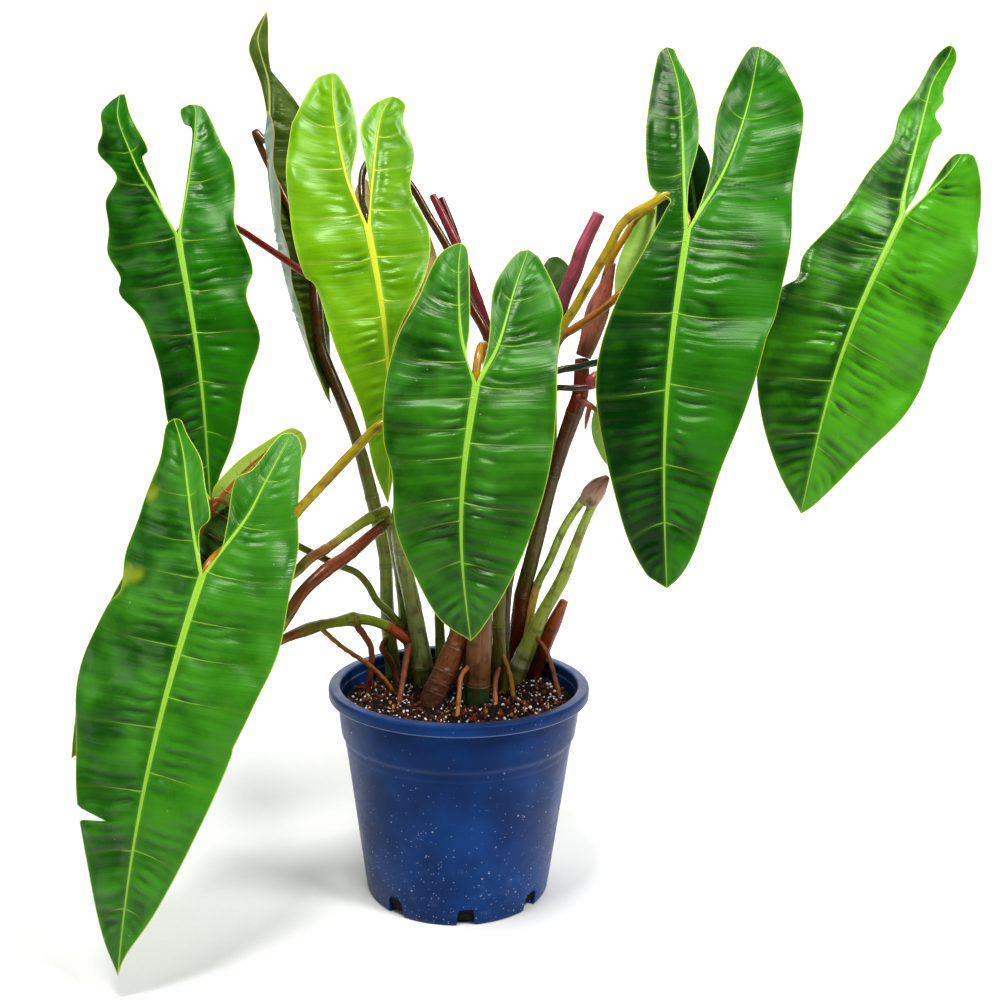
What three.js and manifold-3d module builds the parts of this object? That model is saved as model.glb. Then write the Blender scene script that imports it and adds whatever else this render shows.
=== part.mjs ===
// A potted Philodendron billietiae: nursery pot, soil, stems, petioles, sheaths, aerial roots and leaves.
// Millimetres, +Z up. The origin is the middle of the pot's base, and the front of the plant faces -Y.
import * as THREE from 'three';
import { mergeVertices } from 'three/addons/utils/BufferGeometryUtils.js';
import Module from 'manifold-3d';

const wasm = await Module();
wasm.setup();
const { Manifold, Mesh: SolidMesh } = wasm;

// Driving dimensions
const GAP = 0.3;               // clearance between touching pieces
const RIM_RADIUS = 130;        // outside of the rolled rim
const POT_HEIGHT = 213;
const BASE_RADIUS = 92.6;
const WALL = 2.3;
const FLOOR = 3.2;             // thickness of the pot's bottom
const POT_SIDES = 40;
const NOTCHES = 8;             // drain notches round the base
const NOTCH = { width: 17, height: 17, inner: 84, turn: 7 };
const SOIL_LEVEL = 194;
const ROOTING = 20;            // how deep stems stand in the soil
const BLADE = 1.0;             // thickness of a leaf blade
const RIB = { depth: 3.2, width: 7 };
const FOLD_ROUND = 8;          // half width over which the fold at the midrib is rounded
const RUFFLED_HALF = 80;       // distance from the midrib where a ruffle has its stated rise
const RUFFLE_SHIFT = 1.3;      // phase of the right margin's waves against the left's, in radians
const LOBE_BEND = 100;         // distance from the petiole where a lobe has bent back by lobeBack
const LOBE_BEGINS = 8;         // the margin past this far along the midrib belongs to the blade
const SEARCH_STEP = 0.005;     // share of the margin's length, when that point is looked for
const MIDDLE_COLUMN = 0.55;    // where the blade's middle column stands, from rib to margin
const SHELF_LIMIT = 0.4;       // most of a narrow row that the rib may take up
const KEEL_FADE = { power: 0.8, lobes: 0.7 };      // thinning towards the tip, and share in a lobe
const SOIL_WAVES = { across: 11, deep: 9, rise: 1.6, slant: 23, slantRise: 1.2 };
const FINE = { lobeSteps: 7, bladeSteps: 13 };     // cross rows of a leaf in full view
const COARSE = { lobeSteps: 4, bladeSteps: 8 };    // cross rows of a leaf behind others

const COLOUR = {
  pot: 0x1c3a6e, soil: 0x2a1a14, leaf: 0x1f6b24, lime: 0x86bf12, olive: 0x4e6212, pale: 0xa0cf78,
  grey: 0x55705a, gold: 0xcda028, orange: 0xc87828, maroon: 0x6e1a28, pink: 0xb0506a, brown: 0x6b3a20,
  dark: 0x46281a, stem: 0x6e7d46, green: 0x7f9a3c, peach: 0xc89070, tan: 0xa8783c,
};

// Leaf halves: the margin runs from the lobe's end to the leaf's tip, the sinus from the lobe's end
// to the petiole, and the rib through the lobe from the petiole. Each point is [along the midrib
// from the petiole, across to the right], and the lobes lie at negative distances.
const FRONT_HALVES = {
  left: {
    margin: [[-120, -14], [-118, -22], [-106, -36], [-70, -52], [-37, -69], [5, -79], [49, -79], [78, -71],
      [123, -67], [167, -48], [201, -27], [219, 0]],
    sinus: [[-116, -9], [-104, -7], [-72, -6], [-46, -6], [-22, -8]],
    rib: [[-38, -13], [-93, -16]],
  },
  right: {
    margin: [[-117, 47], [-114, 53], [-106, 60], [-68, 77], [-49, 76], [-7, 72], [54, 69], [121, 53],
      [174, 30], [209, 9], [219, 0]],
    sinus: [[-115, 38], [-102, 26], [-79, 14], [-38, 11], [-16, 6]],
    rib: [[-30, 18], [-82, 34]],
  },
};
const RIGHT_HALVES = {
  left: {
    margin: [[-175, -18], [-171, -24], [-156, -29], [-94, -38], [-49, -36], [-35, -30], [-27, -16],
      [-18, -19], [19, -38], [72, -64], [134, -78], [198, -67], [270, -44], [308, -23], [318, -11],
      [324, 0]],
    sinus: [[-173, -11], [-163, -7], [-128, 8], [-85, 11], [-40, 1]],
    rib: [[-32, -3], [-130, -7]],
  },
  right: {
    margin: [[-185, 75], [-181, 87], [-170, 101], [-136, 116], [-94, 112], [-17, 102], [63, 91], [98, 77],
      [160, 62], [216, 41], [277, 27], [302, 18], [316, 9], [324, 0]],
    sinus: [[-182, 64], [-151, 46], [-111, 29], [-62, 23], [-24, 12]],
    rib: [[-56, 35], [-126, 61]],
  },
};
const FAR_RIGHT_HALVES = {
  left: {
    margin: [[-188, 18], [-185, 11], [-165, -1], [-126, -12], [-98, -23], [-67, -25], [-37, -38],
      [11, -54], [58, -76], [83, -77], [103, -91], [151, -90], [198, -77], [253, -37], [286, 0]],
    sinus: [[-185, 23], [-175, 25], [-162, 22], [-137, 16], [-127, 19], [-109, 12], [-97, 23], [-79, 15],
      [-30, 10]],
    rib: [[-27, -3], [-110, 0], [-143, 3], [-172, 14]],
  },
  right: {
    margin: [[-84, 51], [-87, 58], [-82, 68], [-45, 88], [-13, 87], [41, 93], [74, 81], [101, 72],
      [132, 79], [155, 73], [212, 44], [272, 11], [286, 0]],
    sinus: [[-81, 43], [-69, 35], [-45, 25], [-19, 14]],
    rib: [[-25, 17], [-56, 38]],
  },
};
const LOWER_LEFT_HALVES = {
  left: {
    margin: [[-131, -80], [-122, -86], [-88, -77], [-46, -80], [-7, -82], [26, -73], [45, -83], [88, -94],
      [140, -84], [186, -74], [233, -55], [275, -38], [315, -19], [345, 0]],
    sinus: [[-131, -72], [-119, -60], [-99, -37], [-75, -23], [-49, -9], [-34, -15]],
    rib: [[-32, -20], [-97, -54]],
  },
  right: {
    margin: [[-138, 38], [-134, 46], [-117, 54], [-66, 65], [-24, 75], [49, 79], [104, 70], [137, 58],
      [146, 61], [203, 49], [281, 25], [325, 5], [345, 0]],
    sinus: [[-135, 30], [-125, 25], [-98, 15], [-85, 3], [-46, 8], [-22, 9]],
    rib: [[-50, 21], [-87, 29]],
  },
};
const UPPER_LEFT_HALVES = {
  left: {
    margin: [[-162, -77], [-157, -86], [-143, -91], [-121, -88], [-101, -98], [-68, -69], [-40, -81],
      [3, -78], [33, -64], [51, -68], [83, -40], [135, -29], [196, -26], [236, -18], [277, 0]],
    sinus: [[-160, -69], [-126, -53], [-93, -36], [-86, -42], [-55, -27], [-22, -14]],
    rib: [[-35, -22], [-100, -60]],
  },
  right: {
    margin: [[-134, 8], [-133, 16], [-126, 25], [-88, 42], [-62, 54], [-11, 55], [16, 65], [43, 70],
      [67, 65], [108, 73], [157, 54], [204, 36], [240, 15], [277, 0]],
    sinus: [[-129, -1], [-114, 3], [-103, 12], [-45, 7]],
    rib: [[-61, 11], [-123, 15]],
  },
};
const LIME_HALVES = {
  left: {
    margin: [[-161, -26], [-160, -34], [-153, -44], [-119, -62], [-105, -68], [-59, -73], [-2, -70],
      [41, -61], [56, -50], [112, -36], [170, -17], [218, -11], [255, 0]],
    sinus: [[-157, -19], [-128, -8], [-86, -4], [-50, -12], [-24, -8]],
    rib: [[-46, -16], [-110, -25]],
  },
  right: {
    margin: [[-132, 31], [-130, 37], [-122, 43], [-104, 40], [-71, 48], [-33, 42], [8, 56], [49, 50],
      [96, 24], [127, 14], [206, 11], [255, 0]],
    sinus: [[-130, 23], [-119, 8], [-97, -2], [-60, 2], [-22, 4]],
    rib: [[-44, 7], [-107, 18]],
  },
};
const TALL_BACK_HALVES = {
  left: {
    margin: [[-14, -34], [0, -52], [40, -62], [100, -60], [160, -50], [220, -34], [270, -14], [300, 0]],
    sinus: [[-8, -14]],
    rib: [[-5, -20]],
  },
  right: {
    margin: [[-152, 68], [-120, 44], [-78, 24], [-62, 26], [-28, 46], [0, 58], [60, 64], [140, 56],
      [220, 36], [270, 15], [300, 0]],
    sinus: [[-130, 38], [-102, 10], [-82, 2], [-50, 1]],
    rib: [[-50, 12], [-110, 26]],
  },
};
const PALE_RIGHT_HALVES = {
  left: {
    margin: [[-60, 14], [-44, 4], [-18, -8], [12, -23], [54, -32], [100, -26], [150, -24], [207, -34],
      [240, -20], [256, 0]],
    sinus: [[-50, 20], [-22, 10]],
    rib: [[-36, 8]],
  },
  right: {
    margin: [[-50, 46], [-36, 58], [0, 64], [80, 60], [160, 48], [220, 22], [256, 0]],
    sinus: [[-40, 30], [-20, 12]],
    rib: [[-28, 26]],
  },
};
const DARK_RIGHT_HALVES = {
  left: {
    margin: [[-106, -12], [-90, -26], [-50, -36], [0, -42], [60, -50], [110, -42], [160, -24], [193, 0]],
    sinus: [[-88, 6], [-66, 15], [-28, 11]],
    rib: [[-50, -4]],
  },
  right: {
    margin: [[-80, 62], [-60, 74], [-10, 72], [50, 60], [110, 42], [160, 22], [193, 0]],
    sinus: [[-60, 42], [-28, 18]],
    rib: [[-40, 34]],
  },
};
const BACK_CENTRE_HALVES = {
  left: {
    margin: [[-92, -10], [-95, -20], [-86, -33], [-66, -38], [-44, -36], [0, -34], [50, -42], [120, -50],
      [200, -32], [257, 0]],
    sinus: [[-76, -4], [-30, 2]],
    rib: [[-48, -12]],
  },
  right: {
    margin: [[-8, 14], [20, 30], [80, 46], [150, 46], [210, 28], [257, 0]],
    sinus: [[-4, 5]],
    rib: [[-1, 9]],
  },
};
const BACK_LEFT_HALVES = {
  left: {
    margin: [[-40, -8], [-36, -22], [-19, -37], [20, -47], [70, -52], [130, -48], [200, -32], [256, 0]],
    sinus: [[-30, -2], [-14, -1]],
    rib: [[-26, -10]],
  },
  right: {
    margin: [[-80, 24], [-70, 38], [-20, 50], [60, 56], [140, 48], [210, 28], [256, 0]],
    sinus: [[-64, 14], [-28, 6]],
    rib: [[-40, 17]],
  },
};
const LOWER_LEFT_BACK_HALVES = {
  left: {
    margin: [[-97, -34], [-88, -44], [-65, -48], [-24, -60], [50, -60], [120, -52], [190, -32], [254, 0]],
    sinus: [[-94, -22], [-71, -9], [-45, 3], [-14, 9]],
    rib: [[-42, -8], [-74, -20]],
  },
  right: {
    margin: [[-12, 28], [20, 38], [80, 40], [140, 36], [200, 22], [254, 0]],
    sinus: [[-7, 12]],
    rib: [[-4, 18]],
  },
};

// Leaves: at is where the petiole meets the blade and tip is where the midrib ends. facing turns the
// upper side from the front (-Y) towards +X and fold sweeps the halves back, in degrees. In
// millimetres, bow arches the midrib forwards, lobeBack bends the lobes back, sway bends the midrib
// sideways and ruffle gives the margin's waves their rise and pitch.
const LEAVES = {
  leaf_front: {
    at: [17, -150, 521], tip: [15, -165, 303], facing: 4, fold: 14, bow: 16, lobeBack: 4, sway: -11,
    ruffle: [3, 80], colour: COLOUR.leaf, halves: FRONT_HALVES, steps: FINE,
  },
  leaf_right: {
    at: [202, -60, 655], tip: [192, -85, 332], facing: 2, fold: 12, bow: 22, lobeBack: 4, sway: -14,
    ruffle: [4, 110], colour: COLOUR.leaf, halves: RIGHT_HALVES, steps: FINE,
  },
  leaf_far_right: {
    at: [406, -20, 672], tip: [320, -50, 397], facing: 3, fold: 16, bow: 20, lobeBack: 4, sway: -19,
    ruffle: [5, 90], colour: COLOUR.leaf, halves: FAR_RIGHT_HALVES, steps: FINE,
  },
  leaf_lower_left: {
    at: [-216, -150, 354], tip: [-278, -222, 23], facing: -6, fold: 15, bow: 22, lobeBack: 5,
    sway: -4, ruffle: [4, 100], tear: { along: 213, reach: 40, half: 9 }, colour: COLOUR.leaf,
    halves: LOWER_LEFT_HALVES, steps: FINE,
  },
  leaf_upper_left: {
    at: [-275, 20, 649], tip: [-243, -5, 375], facing: -6, fold: 10, bow: 22, lobeBack: 5, sway: 14,
    ruffle: [7, 75], colour: COLOUR.leaf, halves: UPPER_LEFT_HALVES, steps: FINE,
  },
  leaf_lime: {
    at: [-86, -40, 656], tip: [-64, -75, 404], facing: 4, fold: 8, bow: 22, lobeBack: 3, sway: 10,
    ruffle: [5, 80], colour: COLOUR.lime, halves: LIME_HALVES, steps: FINE,
  },
  leaf_tall_back: {
    at: [-206, 120, 756], tip: [-137, 76, 482], facing: 70, fold: -40, bow: -17, lobeBack: 30,
    sway: 0, ruffle: [4, 60], colour: COLOUR.olive, halves: TALL_BACK_HALVES, steps: FINE,
  },
  leaf_back_left: {
    at: [-73, 104, 641], tip: [-35, 122, 410], facing: 196, fold: 12, bow: 10, lobeBack: 3, sway: 6,
    ruffle: [5, 80], colour: COLOUR.peach, halves: BACK_LEFT_HALVES, steps: COARSE,
  },
  leaf_pale_right: {
    at: [189, 66, 671], tip: [158, 60, 417], facing: -6, fold: 6, bow: 3, lobeBack: 3, sway: 0,
    ruffle: [3, 80], colour: COLOUR.pale, halves: PALE_RIGHT_HALVES, steps: COARSE,
  },
  leaf_back_centre: {
    at: [62, 78, 545], tip: [24, 110, 291], facing: 172, fold: 8, bow: 10, lobeBack: 3, sway: 0,
    ruffle: [3, 80], colour: COLOUR.grey, halves: BACK_CENTRE_HALVES, steps: COARSE,
  },
  leaf_lower_left_back: {
    at: [-220, -88, 403], tip: [-338, -146, 184], facing: 172, fold: -6, bow: -8, lobeBack: 3,
    sway: 0, ruffle: [3, 90], colour: COLOUR.brown, halves: LOWER_LEFT_BACK_HALVES, steps: COARSE,
  },
  leaf_dark_right: {
    at: [223, 8, 654], tip: [228, -8, 462], facing: 4, fold: 10, bow: 8, lobeBack: 3, sway: 4,
    ruffle: [3, 90], colour: COLOUR.leaf, halves: DARK_RIGHT_HALVES, steps: COARSE,
  },
};

const vec = (p) => new THREE.Vector3(...p);
const clamp = THREE.MathUtils.clamp;
const lerp = THREE.MathUtils.lerp;
const radians = THREE.MathUtils.degToRad;

// A closed solid from points and triangles.
function solidFrom(points, triangles) {
  return new Manifold(new SolidMesh({
    numProp: 3,
    vertProperties: new Float32Array(points.flat()),
    triVerts: new Uint32Array(triangles.flat()),
  }));
}

// A closed solid from a three.js geometry whose shared corners are merged.
function solidFromGeometry(geometry) {
  geometry.deleteAttribute('normal');
  geometry.deleteAttribute('uv');
  const merged = mergeVertices(geometry, 1e-4);
  return new Manifold(new SolidMesh({
    numProp: 3,
    vertProperties: new Float32Array(merged.attributes.position.array),
    triVerts: new Uint32Array(merged.index.array),
  }));
}

// The largest single body of a solid, so that scraps beyond a cut fall away.
function largestBody(solid) {
  return solid.decompose().sort((a, b) => b.volume() - a.volume())[0];
}

// Directions of a leaf: down its midrib, out of its upper side and across to its right.
function leafFrame(leaf) {
  const at = vec(leaf.at);
  const along = vec(leaf.tip).sub(at);
  const length = along.length();
  along.normalize();
  const turn = radians(leaf.facing);
  const face = new THREE.Vector3(Math.sin(turn), -Math.cos(turn), 0);
  face.addScaledVector(along, -face.dot(along)).normalize();
  return { at, along, face, across: face.clone().cross(along), length };
}

// Where the point (u, v) of a flat leaf lies once the blade is folded, bowed and ruffled.
function leafPoint(leaf, frame, u, v) {
  const run = u / frame.length;
  const midrib = run > 0 && run < 1 ? leaf.sway * Math.sin(Math.PI * run) : 0;
  const out = v - midrib;
  const slope = radians(leaf.fold);
  const [rise, pitch] = leaf.ruffle;
  const phase = (2 * Math.PI * u) / pitch + (out > 0 ? RUFFLE_SHIFT : 0);
  const wave = rise * (out / RUFFLED_HALF) ** 2 * Math.sin(phase);
  const arch = 4 * leaf.bow * run * (run > 0 ? 1 - run : 1);
  const back = u < 0 ? leaf.lobeBack * (u / LOBE_BEND) ** 2 : 0;
  const width = midrib + out * Math.cos(slope);
  const height = wave - (Math.hypot(out, FOLD_ROUND) - FOLD_ROUND) * Math.sin(slope);
  return frame.at.clone()
    .addScaledVector(frame.along, u)
    .addScaledVector(frame.across, width)
    .addScaledVector(frame.face, height + arch - back);
}

// Flat points of one half: rows of points from rib to margin, and in the lobe from rib to sinus.
function halfRows(half, leaf, frame, side) {
  const scale = frame.length / half.margin.at(-1)[0];
  const curve = (points) => new THREE.SplineCurve(points.map(([u, v]) => new THREE.Vector2(u, v)
    .multiplyScalar(scale)));
  const lobeEnd = half.margin[0];
  const margin = curve(half.margin);
  const rib = curve([lobeEnd, ...[...half.rib].reverse(), [0, 0]]);
  const sinus = curve([lobeEnd, ...half.sinus, [0, 0]]);
  let split = 0;
  while (margin.getPointAt(split).x < LOBE_BEGINS) split += SEARCH_STEP;

  const rows = { outer: [], inner: [] };
  const { lobeSteps, bladeSteps } = leaf.steps;
  for (let i = 0; i <= lobeSteps + bladeSteps; i += 1) {
    const lobe = Math.min(i / lobeSteps, 1);
    const run = Math.max(i - lobeSteps, 0) / bladeSteps;
    const edge = margin.getPointAt(Math.min(split * lobe + (1 - split) * run, 1));
    const start = run > 0
      ? new THREE.Vector2(run * frame.length, leaf.sway * Math.sin(Math.PI * run))
      : rib.getPointAt(lobe);
    if (leaf.tear && side < 0) {
      const near = 1 - Math.abs(edge.x - leaf.tear.along) / leaf.tear.half;
      edge.y += leaf.tear.reach * clamp(near, 0, 1);
    }
    const width = start.distanceTo(edge);
    const shelf = width > 0 ? Math.min(RIB.width / 2 / width, SHELF_LIMIT) : 0;
    const depth = RIB.depth * (run > 0 ? (1 - run) ** KEEL_FADE.power : KEEL_FADE.lobes * lobe);
    const point = (end, t) => ({ at: start.clone().lerp(end, t), keel: t ? 0 : depth });
    rows.outer.push([0, shelf, MIDDLE_COLUMN, 1].map((t) => point(edge, t)));
    if (i <= lobeSteps) {
      const inside = sinus.getPointAt(lobe);
      rows.inner.push([0, 1].map((t) => point(inside, t)));
    }
  }
  return rows;
}

// A leaf blade: one sheet of triangles placed on both faces and closed round its edge. The keel of
// the midrib and of the lobe ribs stands out of the underside.
function bladeSolid(leaf, grow = 0) {
  const frame = leafFrame(leaf);
  const flat = [];
  const index = new Map();
  const number = (corner) => {
    const key = `${corner.at.x.toFixed(3)} ${corner.at.y.toFixed(3)}`;
    if (!index.has(key)) {
      index.set(key, flat.length);
      flat.push(corner);
    }
    return index.get(key);
  };
  const sheet = [];
  const addRows = (rows, turned) => {
    for (let i = 0; i + 1 < rows.length; i += 1) {
      for (let j = 0; j + 1 < rows[i].length; j += 1) {
        const [a, b, c, d] = [rows[i][j], rows[i][j + 1], rows[i + 1][j + 1], rows[i + 1][j]].map(number);
        for (const face of [[a, b, c], [a, c, d]]) {
          if (new Set(face).size === 3) sheet.push(turned ? [face[0], face[2], face[1]] : face);
        }
      }
    }
  };
  for (const [half, side] of [[leaf.halves.left, -1], [leaf.halves.right, 1]]) {
    const rows = halfRows(half, leaf, frame, side);
    addRows(rows.outer, side > 0);
    addRows(rows.inner, side < 0);
  }

  const step = 0.5;
  const count = flat.length;
  const points = [];
  const faceSide = flat.map(({ at, keel }) => {
    const here = leafPoint(leaf, frame, at.x, at.y);
    const down = leafPoint(leaf, frame, at.x + step, at.y).sub(leafPoint(leaf, frame, at.x - step, at.y));
    const right = leafPoint(leaf, frame, at.x, at.y + step).sub(leafPoint(leaf, frame, at.x, at.y - step));
    return { here, normal: down.cross(right).normalize(), keel };
  });
  for (const { here, normal } of faceSide) {
    points.push(here.clone().addScaledVector(normal, BLADE / 2 + grow).toArray());
  }
  for (const { here, normal, keel } of faceSide) {
    points.push(here.clone().addScaledVector(normal, -BLADE / 2 - grow - keel).toArray());
  }
  const triangles = [];
  const edges = new Map();
  for (const [a, b, c] of sheet) {
    triangles.push([a, b, c], [a + count, c + count, b + count]);
    for (const [from, to] of [[a, b], [b, c], [c, a]]) edges.set(`${from} ${to}`, [from, to]);
  }
  for (const [from, to] of edges.values()) {
    if (!edges.has(`${to} ${from}`)) {
      triangles.push([from, from + count, to + count], [from, to + count, to]);
    }
  }
  return solidFrom(points, triangles);
}

// A point near a leaf's petiole joint: so far along the midrib and so far behind the blade.
function behindLeaf(name, back, along) {
  const { at, along: down, face } = leafFrame(LEAVES[name]);
  return at.addScaledVector(face, -back).addScaledVector(down, along).toArray();
}

// A stem: a round section carried along a smooth route, with radii spread evenly from end to end.
function stemSolid(route, radii, { sides = 6, steps = 10, grow = 0 } = {}) {
  const path = new THREE.CatmullRomCurve3(route.map(vec), false, 'centripetal');
  const frames = path.computeFrenetFrames(steps, false);
  const points = [];
  const triangles = [];
  for (let i = 0; i <= steps; i += 1) {
    const centre = path.getPointAt(i / steps);
    const place = (i / steps) * (radii.length - 1);
    const low = Math.min(Math.floor(place), radii.length - 2);
    const radius = lerp(radii[low], radii[low + 1], place - low) + grow;
    for (let j = 0; j < sides; j += 1) {
      const turn = (2 * Math.PI * j) / sides;
      points.push(centre.clone()
        .addScaledVector(frames.normals[i], radius * Math.cos(turn))
        .addScaledVector(frames.binormals[i], radius * Math.sin(turn)).toArray());
    }
  }
  for (let i = 0; i < steps; i += 1) {
    for (let j = 0; j < sides; j += 1) {
      const [a, b] = [i * sides + j, i * sides + ((j + 1) % sides)];
      triangles.push([a, b, b + sides], [a, b + sides, a + sides]);
    }
  }
  for (const [ring, first] of [[0, true], [steps * sides, false]]) {
    const centre = points.length;
    points.push(path.getPoint(first ? 0 : 1).toArray());
    for (let j = 0; j < sides; j += 1) {
      const [a, b] = [ring + j, ring + ((j + 1) % sides)];
      triangles.push(first ? [centre, b, a] : [centre, a, b]);
    }
  }
  return solidFrom(points, triangles);
}

// Pot: a turned wall with a collar, a turned-down rim and eight drain notches round its base.
function potSolid() {
  const top = POT_HEIGHT;
  const outside = [
    [0, 0], [BASE_RADIUS - 1.8, 0], [BASE_RADIUS, 3], [112.9, 152], [114.4, 160], [117.4, 165], [119.6, 182],
    [120.3, top - 2.6], [RIM_RADIUS - 2.4, top - 2.6], [RIM_RADIUS - 2, top - 11], [RIM_RADIUS, top - 11],
    [RIM_RADIUS + 0.2, top - 3], [RIM_RADIUS - 1.8, top],
  ];
  const inside = [
    [119.6, top], [118.2, top - 2], [117.4, 182], [115.1, 166], [112.1, 161], [110.6, 152],
    [BASE_RADIUS - WALL, 5.4], [BASE_RADIUS - 4.2, FLOOR], [0, FLOOR],
  ];
  const profile = [...outside, ...inside].map(([r, z]) => new THREE.Vector2(r, z));
  let pot = solidFromGeometry(upright(new THREE.LatheGeometry(profile, POT_SIDES)));
  for (let i = 0; i < NOTCHES; i += 1) {
    const arch = new THREE.Shape();
    const half = NOTCH.width / 2;
    arch.moveTo(-half, -1);
    arch.lineTo(half, -1);
    arch.lineTo(half, NOTCH.height - half * 0.6);
    arch.quadraticCurveTo(half, NOTCH.height, 0, NOTCH.height);
    arch.quadraticCurveTo(-half, NOTCH.height, -half, NOTCH.height - half * 0.6);
    const cutter = new THREE.ExtrudeGeometry(arch, { depth: 20, bevelEnabled: false, curveSegments: 3 });
    cutter.rotateX(Math.PI / 2);
    cutter.translate(0, -NOTCH.inner, 0);
    cutter.rotateZ(radians(NOTCH.turn + (360 / NOTCHES) * i));
    pot = pot.subtract(solidFromGeometry(cutter));
  }
  return pot;
}

// Turns a lathe, which stands along Y, upright along Z.
function upright(geometry) {
  return geometry.rotateX(Math.PI / 2);
}

// Soil: fills the pot to an uneven surface, a little below the rim.
function soilSolid() {
  const r = BASE_RADIUS - WALL - GAP;
  const profile = [
    [0, FLOOR + GAP], [r - 2, FLOOR + GAP], [r, 5.7], [110.3, 152], [111.7, 161.3], [114.7, 166.3],
    [117.1, 182], [117.4, SOIL_LEVEL - 3], [104, SOIL_LEVEL], [80, SOIL_LEVEL], [52, SOIL_LEVEL],
    [26, SOIL_LEVEL], [0, SOIL_LEVEL],
  ].map(([x, y]) => new THREE.Vector2(x, y));
  const geometry = upright(new THREE.LatheGeometry(profile, POT_SIDES));
  const place = geometry.attributes.position;
  for (let i = 0; i < place.count; i += 1) {
    const [x, y] = [place.getX(i), place.getY(i)];
    if (place.getZ(i) > SOIL_LEVEL - 1) {
      const wave = SOIL_WAVES.rise * Math.sin(x / SOIL_WAVES.across + 1) * Math.cos(y / SOIL_WAVES.deep);
      const slant = SOIL_WAVES.slantRise * Math.sin((x + y) / SOIL_WAVES.slant);
      place.setZ(i, SOIL_LEVEL + wave + slant);
    }
  }
  return solidFromGeometry(geometry);
}

// A piece that stands in the soil: its route goes straight down from its first point.
const rooted = (route) => [[route[0][0], route[0][1], SOIL_LEVEL - ROOTING], ...route];

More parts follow.
